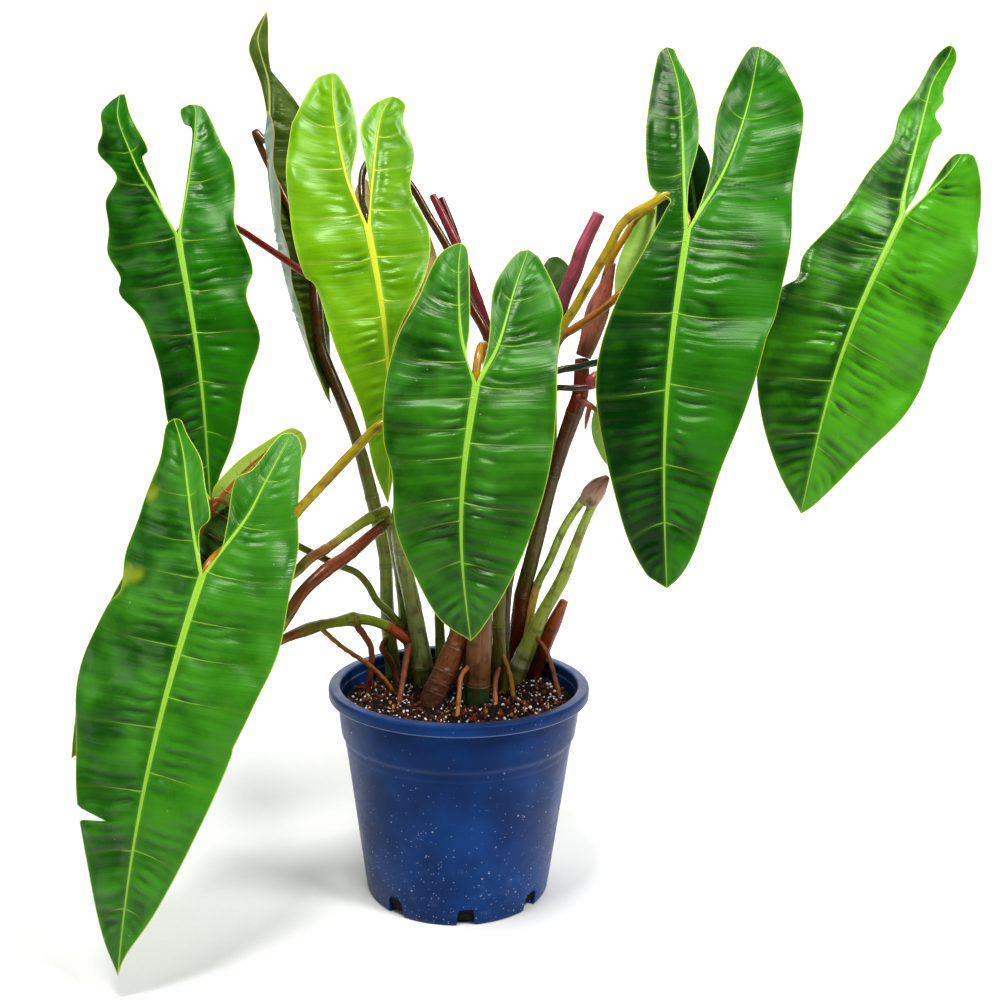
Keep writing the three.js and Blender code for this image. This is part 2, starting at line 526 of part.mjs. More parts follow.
// Stems, sheaths and roots: route, radii, colour and the neighbours that each is trimmed to.
const PIECES = {
  // Stems and crowns that stand in the soil
  trunk_lean: {
    route: rooted([[-27, -14, 195], [-14, -4, 226], [-2, 8, 253], [7, 20, 292], [17, 30, 344]]),
    radii: [12, 12, 11.5, 11, 10, 8.5], sides: 8, steps: 6, colour: COLOUR.brown,
  },
  trunk_sheath: {
    route: rooted([[17, -5, 195], [19, -5, 237], [21, -6, 278], [24, -8, 319]]),
    radii: [13, 13, 12.5, 12, 10, 6], sides: 8, steps: 6, colour: COLOUR.brown,
  },
  stem_left: {
    route: rooted([[-38, 45, 195], [-42, 42, 232], [-50, 30, 288], [-59, 14, 338], [-62, 4, 376],
      [-55, -6, 417]]),
    radii: [10, 11, 9, 8.5, 8, 7, 5], sides: 8, steps: 8, colour: COLOUR.stem,
  },
  stem_fork: {
    route: rooted([[-52, 66, 195], [-53, 60, 224], [-57, 52, 251], [-61, 46, 286], [-66, 38, 328],
      [-71, 30, 362], [-74, 27, 377]]),
    radii: [5.5, 6, 7, 5.5, 5.5, 5.5], steps: 7, colour: COLOUR.dark,
  },
  stem_side: {
    route: [[-54, 40, 243], [-72, 34, 257], [-88, 24, 267], [-105, 10, 273], [-121, -6, 274],
      [-136, -24, 275], [-149, -40, 274], [-160, -52, 272], [-173, -62, 267]],
    radii: [7, 5.5, 5.3, 5.5, 6.6, 5.3, 5.6, 6.4, 5, 4], steps: 14, colour: COLOUR.stem,
    trimTo: ['stem_fork', 'stem_left'],
  },
  fork_upper: {
    route: [[-74, 26, 381], [-85, 16, 378], [-95, 4, 374], [-113, -18, 363], [-127, -36, 354],
      [-141, -52, 347], [-151, -62, 337], [-161, -70, 329]],
    radii: [6, 6, 5, 4.6, 4.6, 5, 5, 3], steps: 9, colour: COLOUR.green, trimTo: ['stem_fork'],
  },
  fork_lower: {
    route: [[-72, 28, 371], [-76, 20, 368], [-87, 8, 361], [-107, -22, 346], [-129, -50, 333],
      [-146, -66, 317], [-155, -74, 302], [-166, -80, 282]],
    radii: [5, 5.5, 6, 6.4, 6.4, 6, 5.6, 4], steps: 9, colour: COLOUR.pink,
    trimTo: ['stem_fork', 'fork_upper'],
  },
  stem_right: {
    route: rooted([[58, 84, 195], [60, 80, 232], [64, 72, 288], [72, 62, 325], [84, 50, 380],
      [95, 42, 427], [105, 36, 464], [116, 30, 501], [117, 28, 536]]),
    radii: [9.5, 10.5, 10, 8.5, 8, 7, 6.5, 8, 8.5, 7], steps: 12, sides: 8, colour: COLOUR.dark,
  },
  pair_thick: {
    route: rooted([[57, 63, 195], [62, 63, 212], [73, 60, 240], [84, 57, 268], [104, 52, 308],
      [111, 50, 328], [124, 46, 366], [137, 42, 398]]),
    radii: [10, 10, 9, 7, 7, 6, 5, 5], sides: 8, steps: 9, colour: COLOUR.stem,
  },
  pair_thin: {
    route: [[68, 72, 238], [72, 70, 264], [79, 66, 298], [90, 62, 323], [105, 56, 361], [123, 49, 392],
      [128, 47, 400]],
    radii: [4, 4.5, 4.5, 4.6, 4.5, 4.5], steps: 8, colour: COLOUR.green, trimTo: ['pair_thick', 'stem_right'],
  },

  // Sheaths, young leaves still rolled up, and buds
  cataphyll_right: {
    route: [[118, 28, 537], [123, 27, 552], [128, 27, 570], [134, 27, 592], [140, 27, 610], [146, 27, 628]],
    radii: [7.5, 9, 10.5, 11, 8.5, 5, 1.5], steps: 8, colour: COLOUR.pink, trimTo: ['stem_right'],
  },
  sheath_cap: {
    route: [[127, 47, 386], [132, 45, 397], [139, 42, 408], [147, 40, 417]],
    radii: [9, 11.5, 9, 2.5], steps: 7, colour: COLOUR.peach, trimTo: ['pair_thick', 'pair_thin'],
  },
  horn_sheath: {
    route: rooted([[77, 74, 195], [84, 66, 223], [91, 62, 245], [100, 59, 267], [107, 57, 284]]),
    radii: [6, 7.5, 8, 7.5, 4.5], steps: 6, colour: COLOUR.brown,
  },
  spear_pink: {
    route: rooted([[30, 62, 195], [42, 66, 260], [55, 62, 340], [73, 50, 442], [86, 40, 523],
      [97, 28, 592], [106, 22, 616], [114, 18, 641], [129, 14, 674]]),
    radii: [5, 5, 5, 5, 5.5, 6, 6.5, 7.5, 6], steps: 13, colour: COLOUR.pink,
  },
  spear_maroon: {
    route: rooted([[4, 54, 195], [12, 50, 291], [30, 44, 435], [25, 38, 555], [9, 35, 602], [-8, 36, 644],
      [-20, 37, 668], [-32, 38, 691]]),
    radii: [4.5, 4.5, 4.5, 4.5, 5, 4.5, 5, 3.5], steps: 13, colour: COLOUR.maroon,
  },
  spear_dark: {
    route: [[28, 44, 555], [14, 48, 581], [-1, 50, 627], [-14, 52, 665], [-24, 54, 690]],
    radii: [3, 4, 4, 4, 3], steps: 6, colour: COLOUR.dark, trimTo: ['spear_maroon', 'petiole_lime'],
  },

  // Petioles, each from its crown to its leaf
  petiole_tall_back: {
    route: [...rooted([[-73, 72, 195], [-76, 73, 224], [-80, 75, 274], [-82, 76, 321], [-98, 78, 396],
      [-114, 80, 453], [-136, 86, 507], [-150, 92, 541], [-155, 98, 580], [-163, 112, 630]]),
      behindLeaf('leaf_tall_back', 14, -8), behindLeaf('leaf_tall_back', 4.8, 6)],
    radii: [8.5, 8, 7, 7.5, 6.5, 6.5, 6.5, 5, 4, 3.5], steps: 16, colour: COLOUR.dark,
    trimTo: ['leaf_tall_back'],
  },
  petiole_upper_left: {
    route: [...rooted([[-6, 40, 195], [-8, 42, 260], [-14, 46, 328], [-36, 52, 440], [-80, 56, 530],
      [-125, 54, 589], [-167, 50, 620], [-202, 50, 643], [-225, 50, 657], [-250, 44, 664]]),
      behindLeaf('leaf_upper_left', 8, -4), behindLeaf('leaf_upper_left', 4.8, 6)],
    radii: [5, 4.5, 4, 4, 3.8, 3.6, 3.5, 3.5], steps: 16, colour: COLOUR.maroon, trimTo: ['leaf_upper_left'],
  },
  petiole_lime: {
    route: [...rooted([[18, 33, 195], [24, 30, 260], [32, 26, 330], [40, 18, 474], [24, 13, 554],
      [5, 16, 589], [-16, 18, 640], [-34, 20, 669], [-51, 20, 697], [-68, 17, 714], [-84, 12, 722],
      [-94, 4, 710], [-94, -12, 682]]), behindLeaf('leaf_lime', 7, -8), behindLeaf('leaf_lime', 4.8, 6)],
    radii: [5, 5, 4.5, 4.5, 4.5, 4.5, 4, 3.5, 3], steps: 22, colour: COLOUR.brown, trimTo: ['leaf_lime'],
  },
  petiole_front: {
    route: [[22, -8, 306], [27, -22, 362], [28, -44, 433], [27, -70, 501], [25, -94, 536], [22, -114, 551],
      [19, -132, 546], behindLeaf('leaf_front', 7, -8), behindLeaf('leaf_front', 4.8, 6)],
    radii: [5, 4.5, 4.5, 4.5, 4.5, 4.5, 4, 3.5], steps: 14, colour: COLOUR.orange,
    trimTo: ['trunk_sheath', 'leaf_front'],
  },
  petiole_lower_left: {
    route: [[4, 22, 318], [-6, 8, 362], [-19, -22, 420], [-32, -56, 466], [-48, -84, 484], [-69, -94, 479],
      [-92, -102, 456], [-118, -108, 428], [-139, -108, 405], [-165, -95, 389], [-190, -104, 377],
      behindLeaf('leaf_lower_left', 10, -8), behindLeaf('leaf_lower_left', 4.8, 6)],
    radii: [5, 4.5, 4.5, 4.5, 4.5, 4.2, 4], steps: 16, colour: COLOUR.gold,
    trimTo: ['trunk_lean', 'leaf_lower_left'],
  },
  petiole_right: {
    route: [...rooted([[42, 28, 195], [39, 26, 270], [42, 18, 334], [51, 8, 417], [67, -4, 501],
      [92, -18, 562], [106, -24, 585], [122, -30, 615], [134, -34, 637], [144, -38, 658], [155, -40, 669],
      [171, -42, 678], [186, -43, 686]]), behindLeaf('leaf_right', 12, -12),
      behindLeaf('leaf_right', 4.8, 6)],
    radii: [8, 7, 5.5, 4.5, 4.5, 4.5, 4.2, 4], steps: 20, colour: COLOUR.gold, trimTo: ['leaf_right'],
  },
  petiole_dark_right: {
    route: [...rooted([[46, 47, 195], [47, 47, 286], [58, 44, 372], [76, 36, 465], [84, 24, 524],
      [95, 7, 556], [109, 6, 566], [131, 6, 581], [148, 8, 596], [170, 14, 616], [199, 18, 638]]),
      behindLeaf('leaf_dark_right', 8, -4), behindLeaf('leaf_dark_right', 4.8, 6)],
    radii: [5, 4.5, 4.5, 4.2, 4, 4, 3.8, 3.5], steps: 17, colour: COLOUR.orange, trimTo: ['leaf_dark_right'],
  },
  petiole_far_right: {
    route: [...rooted([[30, 84, 195], [38, 84, 260], [44, 78, 340], [56, 44, 425], [68, 16, 490],
      [80, 3, 519], [94, 3, 525], [111, 5, 528], [129, 12, 532], [183, 34, 537], [253, 40, 546],
      [329, 36, 578], [380, 18, 638]]), behindLeaf('leaf_far_right', 8, -6),
      behindLeaf('leaf_far_right', 4.8, 6)],
    radii: [5, 4.5, 4, 3.6, 3.5, 3.5, 3.5, 3.5], steps: 20, colour: COLOUR.dark, trimTo: ['leaf_far_right'],
  },
  petiole_pale_right: {
    route: [[125, 37, 556], [136, 42, 606], [143, 44, 629], [149, 45, 641], [157, 47, 654], [167, 52, 670],
      [180, 62, 680], behindLeaf('leaf_pale_right', 8, -8), behindLeaf('leaf_pale_right', 4.8, 6)],
    radii: [3.5, 3.5, 3.5, 3.2, 3], steps: 10, colour: COLOUR.orange,
    trimTo: ['cataphyll_right', 'stem_right', 'leaf_pale_right'],
  },
  petiole_lower_left_back: {
    route: [[-61, 42, 257], [-72, 34, 272], [-85, 22, 289], [-93, 12, 308], [-103, 0, 323],
      [-120, -18, 335], [-150, -44, 357], [-182, -64, 380], behindLeaf('leaf_lower_left_back', 12, -6),
      behindLeaf('leaf_lower_left_back', 4.8, 6)],
    radii: [4, 3.8, 3.6, 3.6, 3.4, 3.2], steps: 11, colour: COLOUR.stem,
    trimTo: ['stem_fork', 'stem_left', 'stem_side', 'leaf_lower_left_back'],
  },
  petiole_back_left: {
    route: [...rooted([[-22, 70, 195], [-26, 84, 280], [-34, 104, 400], [-50, 112, 520], [-66, 114, 610],
      [-76, 110, 646]]), behindLeaf('leaf_back_left', 10, -12), behindLeaf('leaf_back_left', 4.8, 6)],
    radii: [6, 5, 4.5, 4.2, 3.6], steps: 11, colour: COLOUR.stem, trimTo: ['leaf_back_left'],
  },
  petiole_back_centre: {
    route: [...rooted([[8, 84, 195], [14, 92, 280], [34, 86, 400], [58, 70, 500]]),
    behindLeaf('leaf_back_centre', 12, -10), behindLeaf('leaf_back_centre', 4.8, 6)],
    radii: [6, 5, 4.5, 4.2, 3.6], steps: 10, colour: COLOUR.stem, trimTo: ['leaf_back_centre'],
  },

  // Aerial roots
  root_side: {
    route: [[-107, 8, 271], [-99, 7, 261], [-90, 10, 244], [-90, 12, 223], [-94, 15, 192], [-94, 15, 178]],
    radii: [3.5, 3.2, 3, 3, 2.6], steps: 8, colour: COLOUR.brown, trimTo: ['stem_side'],
  },
  root_side_tan: {
    route: [[-136, -23, 273], [-117, -14, 252], [-92, -2, 230], [-76, 8, 210], [-66, 15, 192],
      [-62, 18, 180]],
    radii: [2.6, 2.4, 2.4, 2.4, 2.2], steps: 7, colour: COLOUR.tan, trimTo: ['stem_side'],
  },
  root_inner: {
    route: [[-78, 70, 238], [-84, 61, 228], [-74, 56, 215], [-66, 51, 192], [-64, 50, 178]],
    radii: [3.4, 3.2, 3, 2.6], steps: 6, colour: COLOUR.brown, trimTo: ['petiole_tall_back'],
  },
  root_node: {
    route: [[-53, 38, 241], [-55, 26, 228], [-57, 8, 213], [-60, -11, 192], [-61, -15, 180]],
    radii: [3.6, 3.2, 3, 2.6], steps: 7, colour: COLOUR.brown,
    trimTo: ['stem_side', 'stem_left', 'stem_fork'],
  },
  root_front: {
    route: [[12, -9, 234], [3, -19, 225], [1, -38, 209], [0, -54, 192], [0, -60, 182]],
    radii: [2.6, 2.4, 2.2, 2], steps: 7, colour: COLOUR.tan, trimTo: ['trunk_sheath', 'trunk_lean'],
  },
  root_pink: {
    route: [[41, 24, 221], [37, 12, 213], [36, -6, 202], [38, -22, 192], [39, -28, 182]],
    radii: [2.4, 2.4, 2.2, 2], steps: 7, colour: COLOUR.peach,
    trimTo: ['petiole_right', 'trunk_sheath'],
  },
  root_tan: {
    route: [[42, 25, 236], [47, 17, 227], [52, 8, 212], [55, 0, 192], [56, -4, 182]],
    radii: [2.6, 2.4, 2.4, 2], steps: 7, colour: COLOUR.tan, trimTo: ['petiole_right'],
  },
  root_right: {
    route: [[75, 57, 247], [88, 42, 234], [96, 28, 214], [102, 12, 192], [104, 6, 180]],
    radii: [2.6, 2.4, 2.4, 2], steps: 8, colour: COLOUR.brown, trimTo: ['pair_thick', 'horn_sheath'],
  },
  root_reaching: {
    route: [[83, 40, 499], [88, 20, 504], [93, 3, 508], [106, -6, 508.5], [122, -8, 510]],
    radii: [3, 3, 3, 3], steps: 8, colour: COLOUR.dark, trimTo: ['spear_pink', 'petiole_dark_right'],
  },
  root_tip_pink: {
    route: [[120, -8, 509], [124, -8, 513], [127, -8, 519], [128, -8, 525]],
    radii: [3, 6.5, 6.5, 2], steps: 6, colour: COLOUR.pink, trimTo: ['root_reaching'],
  },
  rootlets_right: {
    route: [[114, 26, 499], [119, 14, 494], [126, 8, 490], [133, 4, 484]],
    radii: [3.6, 3.2, 3, 1], steps: 6, colour: COLOUR.peach, trimTo: ['stem_right'],
    branch: { route: [[124, 9, 491], [122, 6, 480], [120, 5, 468]], radii: [2.6, 2.4, 0.8] },
  },
};

function pieceSolid(piece, grow = 0) {
  let solid = stemSolid(piece.route, piece.radii, { sides: piece.sides, steps: piece.steps, grow });
  if (piece.branch) {
    solid = solid.add(stemSolid(piece.branch.route, piece.branch.radii, { steps: 4, grow }));
  }
  return solid;
}

function neighbourSolid(name, grow) {
  return LEAVES[name] ? bladeSolid(LEAVES[name], 2 * grow) : pieceSolid(PIECES[name], grow);
}

const group = new THREE.Group();

function addNode(name, solid, colour, roughness = 0.5) {
  const { vertProperties, triVerts } = solid.getMesh();
  const geometry = new THREE.BufferGeometry();
  geometry.setAttribute('position', new THREE.BufferAttribute(new Float32Array(vertProperties), 3));
  geometry.setIndex(new THREE.BufferAttribute(new Uint32Array(triVerts), 1));
  const material = new THREE.MeshStandardMaterial({ color: colour, roughness, metalness: 0 });
  const mesh = new THREE.Mesh(geometry, material);
  mesh.name = name;
  group.add(mesh);
}

let soil = soilSolid();
for (const [name, piece] of Object.entries(PIECES)) {
  let solid = pieceSolid(piece);
  for (const neighbour of piece.trimTo ?? []) {
    solid = solid.subtract(neighbourSolid(neighbour, GAP));
  }
  if (Math.min(...piece.route.map((point) => point[2])) < SOIL_LEVEL) {
    soil = soil.subtract(pieceSolid(piece, GAP));
  }
  addNode(name, largestBody(solid), piece.colour, 0.55);
}
for (const [name, leaf] of Object.entries(LEAVES)) {
  addNode(name, bladeSolid(leaf), leaf.colour, 0.35);
}
addNode('soil', largestBody(soil), COLOUR.soil, 0.95);
addNode('pot', potSolid(), COLOUR.pot, 0.4);

export default group;
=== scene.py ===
"""A potted Philodendron billietiae in a pale studio.

The tables of leaves and stems are in millimetres, and a mesh is made metres when it is filled. A
leaf's own directions are u, down its midrib from the petiole, and v, across to its right. Lines
are written as texts: the numbers of a point with spaces, and a comma after each point.
"""

import math

import bpy
import numpy as np
from mathutils import Matrix


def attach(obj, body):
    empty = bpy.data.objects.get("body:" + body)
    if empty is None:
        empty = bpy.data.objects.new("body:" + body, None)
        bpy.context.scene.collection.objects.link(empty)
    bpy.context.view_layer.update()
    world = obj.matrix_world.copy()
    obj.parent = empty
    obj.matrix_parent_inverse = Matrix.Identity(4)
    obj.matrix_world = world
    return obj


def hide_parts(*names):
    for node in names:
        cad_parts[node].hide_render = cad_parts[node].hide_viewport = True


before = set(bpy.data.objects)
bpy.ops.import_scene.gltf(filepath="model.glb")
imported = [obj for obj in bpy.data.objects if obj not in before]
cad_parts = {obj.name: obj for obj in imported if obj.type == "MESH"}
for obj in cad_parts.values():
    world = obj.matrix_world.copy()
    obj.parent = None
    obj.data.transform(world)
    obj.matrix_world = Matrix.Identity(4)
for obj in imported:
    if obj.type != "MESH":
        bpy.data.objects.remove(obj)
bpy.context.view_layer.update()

MM = 0.001
BASE_RADIUS = 92.6
WALL = 2.3
WALL_SLOPE = 20.3 / 149    # how fast the pot's wall widens upwards
FLOOR = 3.2
NOTCH_HALF = 8.7      # half width of a drain notch in the pot's foot
NOTCH_HEIGHT = 17.0
NOTCH_DEEP = 84       # radius that the floor draws in to behind a notch
SOIL_LEVEL = 194
JOINT = (4.8, 6)      # a petiole's end: how far behind its blade, and along the midrib
BLADE = 1.0           # thickness of a blade at its midrib
BLADE_EDGE = 0.55     # and at its margin
KEEL = 3.2            # how far the midrib stands out below, at the petiole
KEEL_HALF = 3.5
FOLD_ROUND = 8        # half width over which the fold at the midrib is rounded
RUFFLED_HALF = 80     # distance from the midrib where a ruffle has its stated rise
RUFFLE_SHIFT = 1.3    # phase of the right margin's waves against the left's, in radians
LOBE_BEGINS = 8       # the margin's blade part starts this far past the petiole
PUCKER = 11           # distance between the finer lateral veins
BEYOND = 30           # the vein pattern's reach past the first and the last main vein
TIMES = {"operation": "MULTIPLY"}
TIMES_PLUS = {"operation": "MULTIPLY_ADD"}    # the first two values multiplied, plus the third
SMOOTH = {"interpolation_type": "SMOOTHSTEP"}
# Numbers that each point of a blade carries for its material
BLADE_MARKS = ("share", "wide", "edge", "rib", "phase", "gap", "fine", "spot", "swell")
FINE = {"lobe": 64, "blade": 150, "across": 22, "inner": 9}     # steps on a leaf in full view
COARSE = {"lobe": 30, "blade": 80, "across": 14, "inner": 6}    # steps on a leaf behind others
GREEN = {
    "deep": "#062e02", "lit": "#30790e", "rib": "#8cc238", "vein": "#74b02c", "edge": "#b4cc3c",
    "under": "#6f9c4e", "under_rib": "#b4c86a",
}

# Leaves, in millimetres and degrees. at and tip are the midrib's ends. bend is the petiole's last
# turn, by how far it lies behind the blade and along the midrib. facing turns the upper side from
# the front to the right. fold, bow, lobe_back, sway and ruffle (its rise and pitch) shape the blade
# as leaf_surface says. tear is a cleft in the left margin: where, how deep and half how wide.
# spots are yellowed places: u, v and half their size along each. left and right give for each half
# the margin from the lobe's end to the tip, the edge along the sinus, the lobe's rib, and where
# the main lateral veins leave: along the midrib, or along the lobe's rib as a negative distance.
# Colours that a leaf leaves out are those of GREEN: deep and lit on the upper side, mixed by its
# mottle and by painted light and shade; rib, vein, edge, and the lower side's under and under_rib.
# wax is the gloss, halves is painted light and shade that lightens or darkens the left and the right
# half as the lamps fall on them, and turning is the lower side's colour above a height that it fades in from.
LEAVES = {
    "leaf_front": {
        "at": (17, -150, 521), "tip": (15, -165, 303), "bend": (7, -8), "facing": 4, "fold": 14,
        "bow": 16, "lobe_back": 4, "sway": -11, "ruffle": (3, 80), "steps": FINE,
        "left": (
            "-120 -14, -118 -22, -106 -36, -70 -52, -37 -69, 5 -79, 49 -79, 78 -71, 123 -67, 167 -48, "
            "201 -27, 219 0",
            "-116 -9, -104 -7, -72 -6, -46 -6, -22 -8", "-38 -13, -93 -16",
            "-95 -67 -18 13 38 61 95 114 148",
        ),
        "right": (
            "-117 47, -114 53, -106 60, -68 77, -49 76, -7 72, 54 69, 121 53, 174 30, 209 9, 219 0",
            "-115 38, -102 26, -79 14, -38 11, -16 6", "-30 18, -82 34", "-78 -37 2 50 99 150",
        ),
    },
    "leaf_right": {
        "at": (202, -60, 655), "tip": (192, -85, 332), "bend": (12, -12), "facing": 2, "fold": 12,
        "bow": 22, "lobe_back": 4, "sway": -14, "ruffle": (4, 110), "steps": FINE, "deep": "#022a02",
        "lit": "#266f08", "wax": 0.3, "halves": (-0.25, 0.14),
        "left": (
            "-175 -18, -171 -24, -156 -29, -94 -38, -49 -36, -35 -30, -27 -16, -18 -19, 19 -38, 72 -64, "
            "134 -78, 198 -67, 270 -44, 308 -23, 318 -11, 324 0",
            "-173 -11, -163 -7, -128 8, -85 11, -40 1", "-32 -3, -130 -7", "-105 -52 11 76 144 212 262",
        ),
        "right": (
            "-185 75, -181 87, -170 101, -136 116, -94 112, -17 102, 63 91, 98 77, 160 62, 216 41, "
            "277 27, 302 18, 316 9, 324 0",
            "-182 64, -151 46, -111 29, -62 23, -24 12", "-56 35, -126 61", "-122 -60 16 76 139 209 262",
        ),
    },
    "leaf_far_right": {
        "at": (406, -20, 672), "tip": (320, -50, 397), "bend": (8, -6), "facing": 3, "fold": 16,
        "bow": 20, "lobe_back": 4, "sway": -19, "ruffle": (5, 90), "steps": FINE, "deep": "#063402",
        "lit": "#46980f", "halves": (-0.16, 0.2),
        "left": (
            "-188 18, -185 11, -165 -1, -126 -12, -98 -23, -67 -25, -37 -38, 11 -54, 58 -76, 83 -77, "
            "103 -91, 151 -90, 198 -77, 253 -37, 286 0",
            "-185 23, -175 25, -162 22, -137 16, -127 19, -109 12, -97 23, -79 15, -30 10",
            "-27 -3, -110 0, -143 3, -172 14", "-120 -62 -15 36 98 166 214",
        ),
        "right": (
            "-84 51, -87 58, -82 68, -45 88, -13 87, 41 93, 74 81, 101 72, 132 79, 155 73, 212 44, "
            "272 11, 286 0",
            "-81 43, -69 35, -45 25, -19 14", "-25 17, -56 38", "-45 -3 67 129 183 226",
        ),
    },
    "leaf_lower_left": {
        "at": (-216, -150, 354), "tip": (-278, -222, 23), "bend": (10, -8), "facing": -6, "fold": 15,
        "bow": 22, "lobe_back": 5, "sway": -4, "ruffle": (4, 100), "tear": (217, 28, 5),
        "spots": "18 -76 18 9, -60 -74 12 8, 12 -62 9 8", "steps": FINE, "deep": "#0f4804",
        "lit": "#388216", "rib": "#94c838", "halves": (-0.08, 0.06),
        "left": (
            "-131 -80, -122 -86, -88 -77, -46 -80, -7 -82, 26 -73, 45 -83, 88 -94, 140 -84, 186 -74, "
            "233 -55, 275 -38, 315 -19, 345 0",
            "-131 -72, -119 -60, -99 -37, -75 -23, -49 -9, -34 -15", "-32 -20, -97 -54",
            "-72 -30 4 63 132 184 235 284",
        ),
        "right": (
            "-138 38, -134 46, -117 54, -66 65, -24 75, 49 79, 104 70, 137 61, 148 60, 203 49, 281 25, "
            "325 5, 345 0",
            "-135 30, -125 25, -98 15, -85 3, -46 8, -22 9", "-50 21, -87 29",
            "-95 -50 -3 40 69 104 168 234 284",
        ),
    },
    "leaf_upper_left": {
        "at": (-275, 20, 649), "tip": (-243, -5, 375), "bend": (8, -4), "facing": -6, "fold": 10,
        "bow": 22, "lobe_back": 5, "sway": 14, "ruffle": (7, 75), "steps": FINE, "deep": "#043001",
        "lit": "#1f6c02", "wax": 0.3, "halves": (-0.06, 0.08),
        "left": (
            "-162 -77, -157 -86, -143 -91, -121 -88, -101 -98, -68 -69, -40 -81, 3 -78, 33 -64, 51 -68, "
            "83 -40, 135 -29, 196 -26, 236 -18, 277 0",
            "-160 -69, -126 -53, -93 -36, -86 -42, -55 -27, -22 -14", "-35 -22, -100 -60",
            "-110 -64 3 48 97 145 185 224",
        ),
        "right": (
            "-134 8, -133 16, -126 25, -88 42, -62 54, -11 55, 16 65, 43 70, 67 65, 108 73, 157 54, "
            "204 36, 240 15, 277 0",
            "-129 -1, -114 3, -103 12, -45 7", "-61 11, -123 15", "-95 -52 6 57 96 144 190",
        ),
    },
    "leaf_lime": {
        "at": (-86, -40, 656), "tip": (-64, -75, 404), "bend": (7, -8), "facing": 4, "fold": 8, "bow": 22,
        "lobe_back": 3, "sway": 10, "ruffle": (5, 80), "steps": FINE, "slot": "leaf_lime",
        "deep": "#3e7600", "lit": "#6aa004", "rib": "#c4cc2c", "wax": 0.3, "halves": (0.14, -0.1),
        "vein": "#c0dc4c", "edge": "#cfe060", "under": "#a6cc58", "under_rib": "#d2dc78",
        "left": (
            "-161 -26, -160 -34, -153 -44, -119 -62, -105 -68, -59 -73, -2 -70, 41 -61, 56 -50, 112 -36, "
            "170 -17, 218 -11, 255 0",
            "-157 -19, -128 -8, -86 -4, -50 -12, -24 -8", "-46 -16, -110 -25",
            "-105 -60 -11 32 86 125 170",
        ),
        "right": (
            "-132 31, -130 37, -122 43, -104 40, -71 48, -33 42, 8 56, 49 50, 96 24, 127 14, 206 11, "
            "255 0",
            "-130 23, -119 8, -97 -2, -60 2, -22 4", "-44 7, -107 18", "-90 -55 -15 31 71 120 170",
        ),
    },
    "leaf_tall_back": {
        "at": (-206, 120, 756), "tip": (-137, 76, 482), "bend": (14, -8), "facing": 70, "fold": -40,
        "bow": -17, "lobe_back": 30, "sway": 0, "ruffle": (4, 60), "steps": FINE, "slot": "leaf_olive",
        "deep": "#1c2a06", "lit": "#405410", "rib": "#8a9244", "vein": "#55662a", "wax": 0.25,
        "edge": "#b9a83c", "under": "#a9c2b0", "under_rib": "#b07c3c",
        "left": (
            "-14 -34, 0 -52, 40 -62, 100 -60, 160 -50, 220 -34, 270 -14, 300 0", "-8 -14", "-5 -20",
            "-90 -40 5 60 120 180 240",
        ),
        "right": (
            "-152 68, -120 44, -78 24, -62 26, -28 46, 0 58, 60 64, 140 56, 220 36, 270 15, 300 0",
            "-130 38, -102 10, -82 2, -50 1", "-50 12, -110 26", "-110 -60 10 66 128 190 245",
        ),
    },
    "leaf_back_left": {
        "at": (-73, 104, 641), "tip": (-35, 122, 410), "bend": (10, -12), "facing": 196, "fold": 12,
        "bow": 10, "lobe_back": 3, "sway": 6, "ruffle": (5, 80), "steps": COARSE, "under": "#c98f70",
        "under_rib": "#b06a48",
        "left": (
            "-40 -8, -36 -22, -19 -37, 20 -47, 70 -52, 130 -48, 200 -32, 256 0", "-30 -2, -14 -1",
            "-26 -10", "-30 20 70 120 170",
        ),
        "right": (
            "-80 24, -70 38, -20 50, 60 56, 140 48, 210 28, 256 0", "-64 14, -28 6", "-40 17",
            "-60 -10 40 90 140",
        ),
    },
    "leaf_pale_right": {
        "at": (189, 66, 671), "tip": (158, 60, 417), "bend": (8, -8), "facing": -6, "fold": 6, "bow": 3,
        "lobe_back": 3, "sway": 0, "ruffle": (3, 80), "steps": COARSE, "slot": "leaf_pale",
        "deep": "#98cc50", "lit": "#bce470", "rib": "#dcea9c", "vein": "#cbe48c", "edge": "#c6d878",
        "under": "#b8da7c", "wax": 0.25, "under_rib": "#dce6a8",
        "left": (
            "-60 14, -44 4, -18 -8, 12 -23, 54 -32, 100 -26, 150 -24, 207 -34, 240 -20, 256 0",
            "-50 20, -22 10", "-36 8", "-40 20 70 120 170",
        ),
        "right": (
            "-50 46, -36 58, 0 64, 80 60, 160 48, 220 22, 256 0", "-40 30, -20 12", "-28 26",
            "-30 25 75 125 175",
        ),
    },
    "leaf_back_centre": {
        "at": (62, 78, 545), "tip": (24, 110, 291), "bend": (12, -10), "facing": 172, "fold": 8,
        "bow": 10, "lobe_back": 3, "sway": 0, "ruffle": (3, 80), "steps": COARSE, "under": "#4f6b52",
        "under_rib": "#8fae86",
        "left": (
            "-92 -10, -95 -20, -86 -33, -66 -38, -44 -36, 0 -34, 50 -42, 120 -50, 200 -32, 257 0",
            "-76 -4, -30 2", "-48 -12", "-60 -20 30 80 130 180",
        ),
        "right": (
            "-8 14, 20 30, 80 46, 150 46, 210 28, 257 0", "-4 5", "-1 9", "-20 30 80 130 180",
        ),
    },
    "leaf_lower_left_back": {
        "at": (-220, -88, 403), "tip": (-338, -146, 184), "bend": (12, -6), "facing": 172, "fold": -6,
        "bow": -8, "lobe_back": 3, "sway": 0, "ruffle": (3, 90), "steps": COARSE, "deep": "#5e8c1c",
        "lit": "#9dbb42", "under": "#22401e", "under_rib": "#9c4a22",
        "turning": (0.418, 0.438, "#8ea83c"),
        "left": (
            "-97 -34, -88 -44, -65 -48, -24 -60, 50 -60, 120 -52, 190 -32, 254 0",
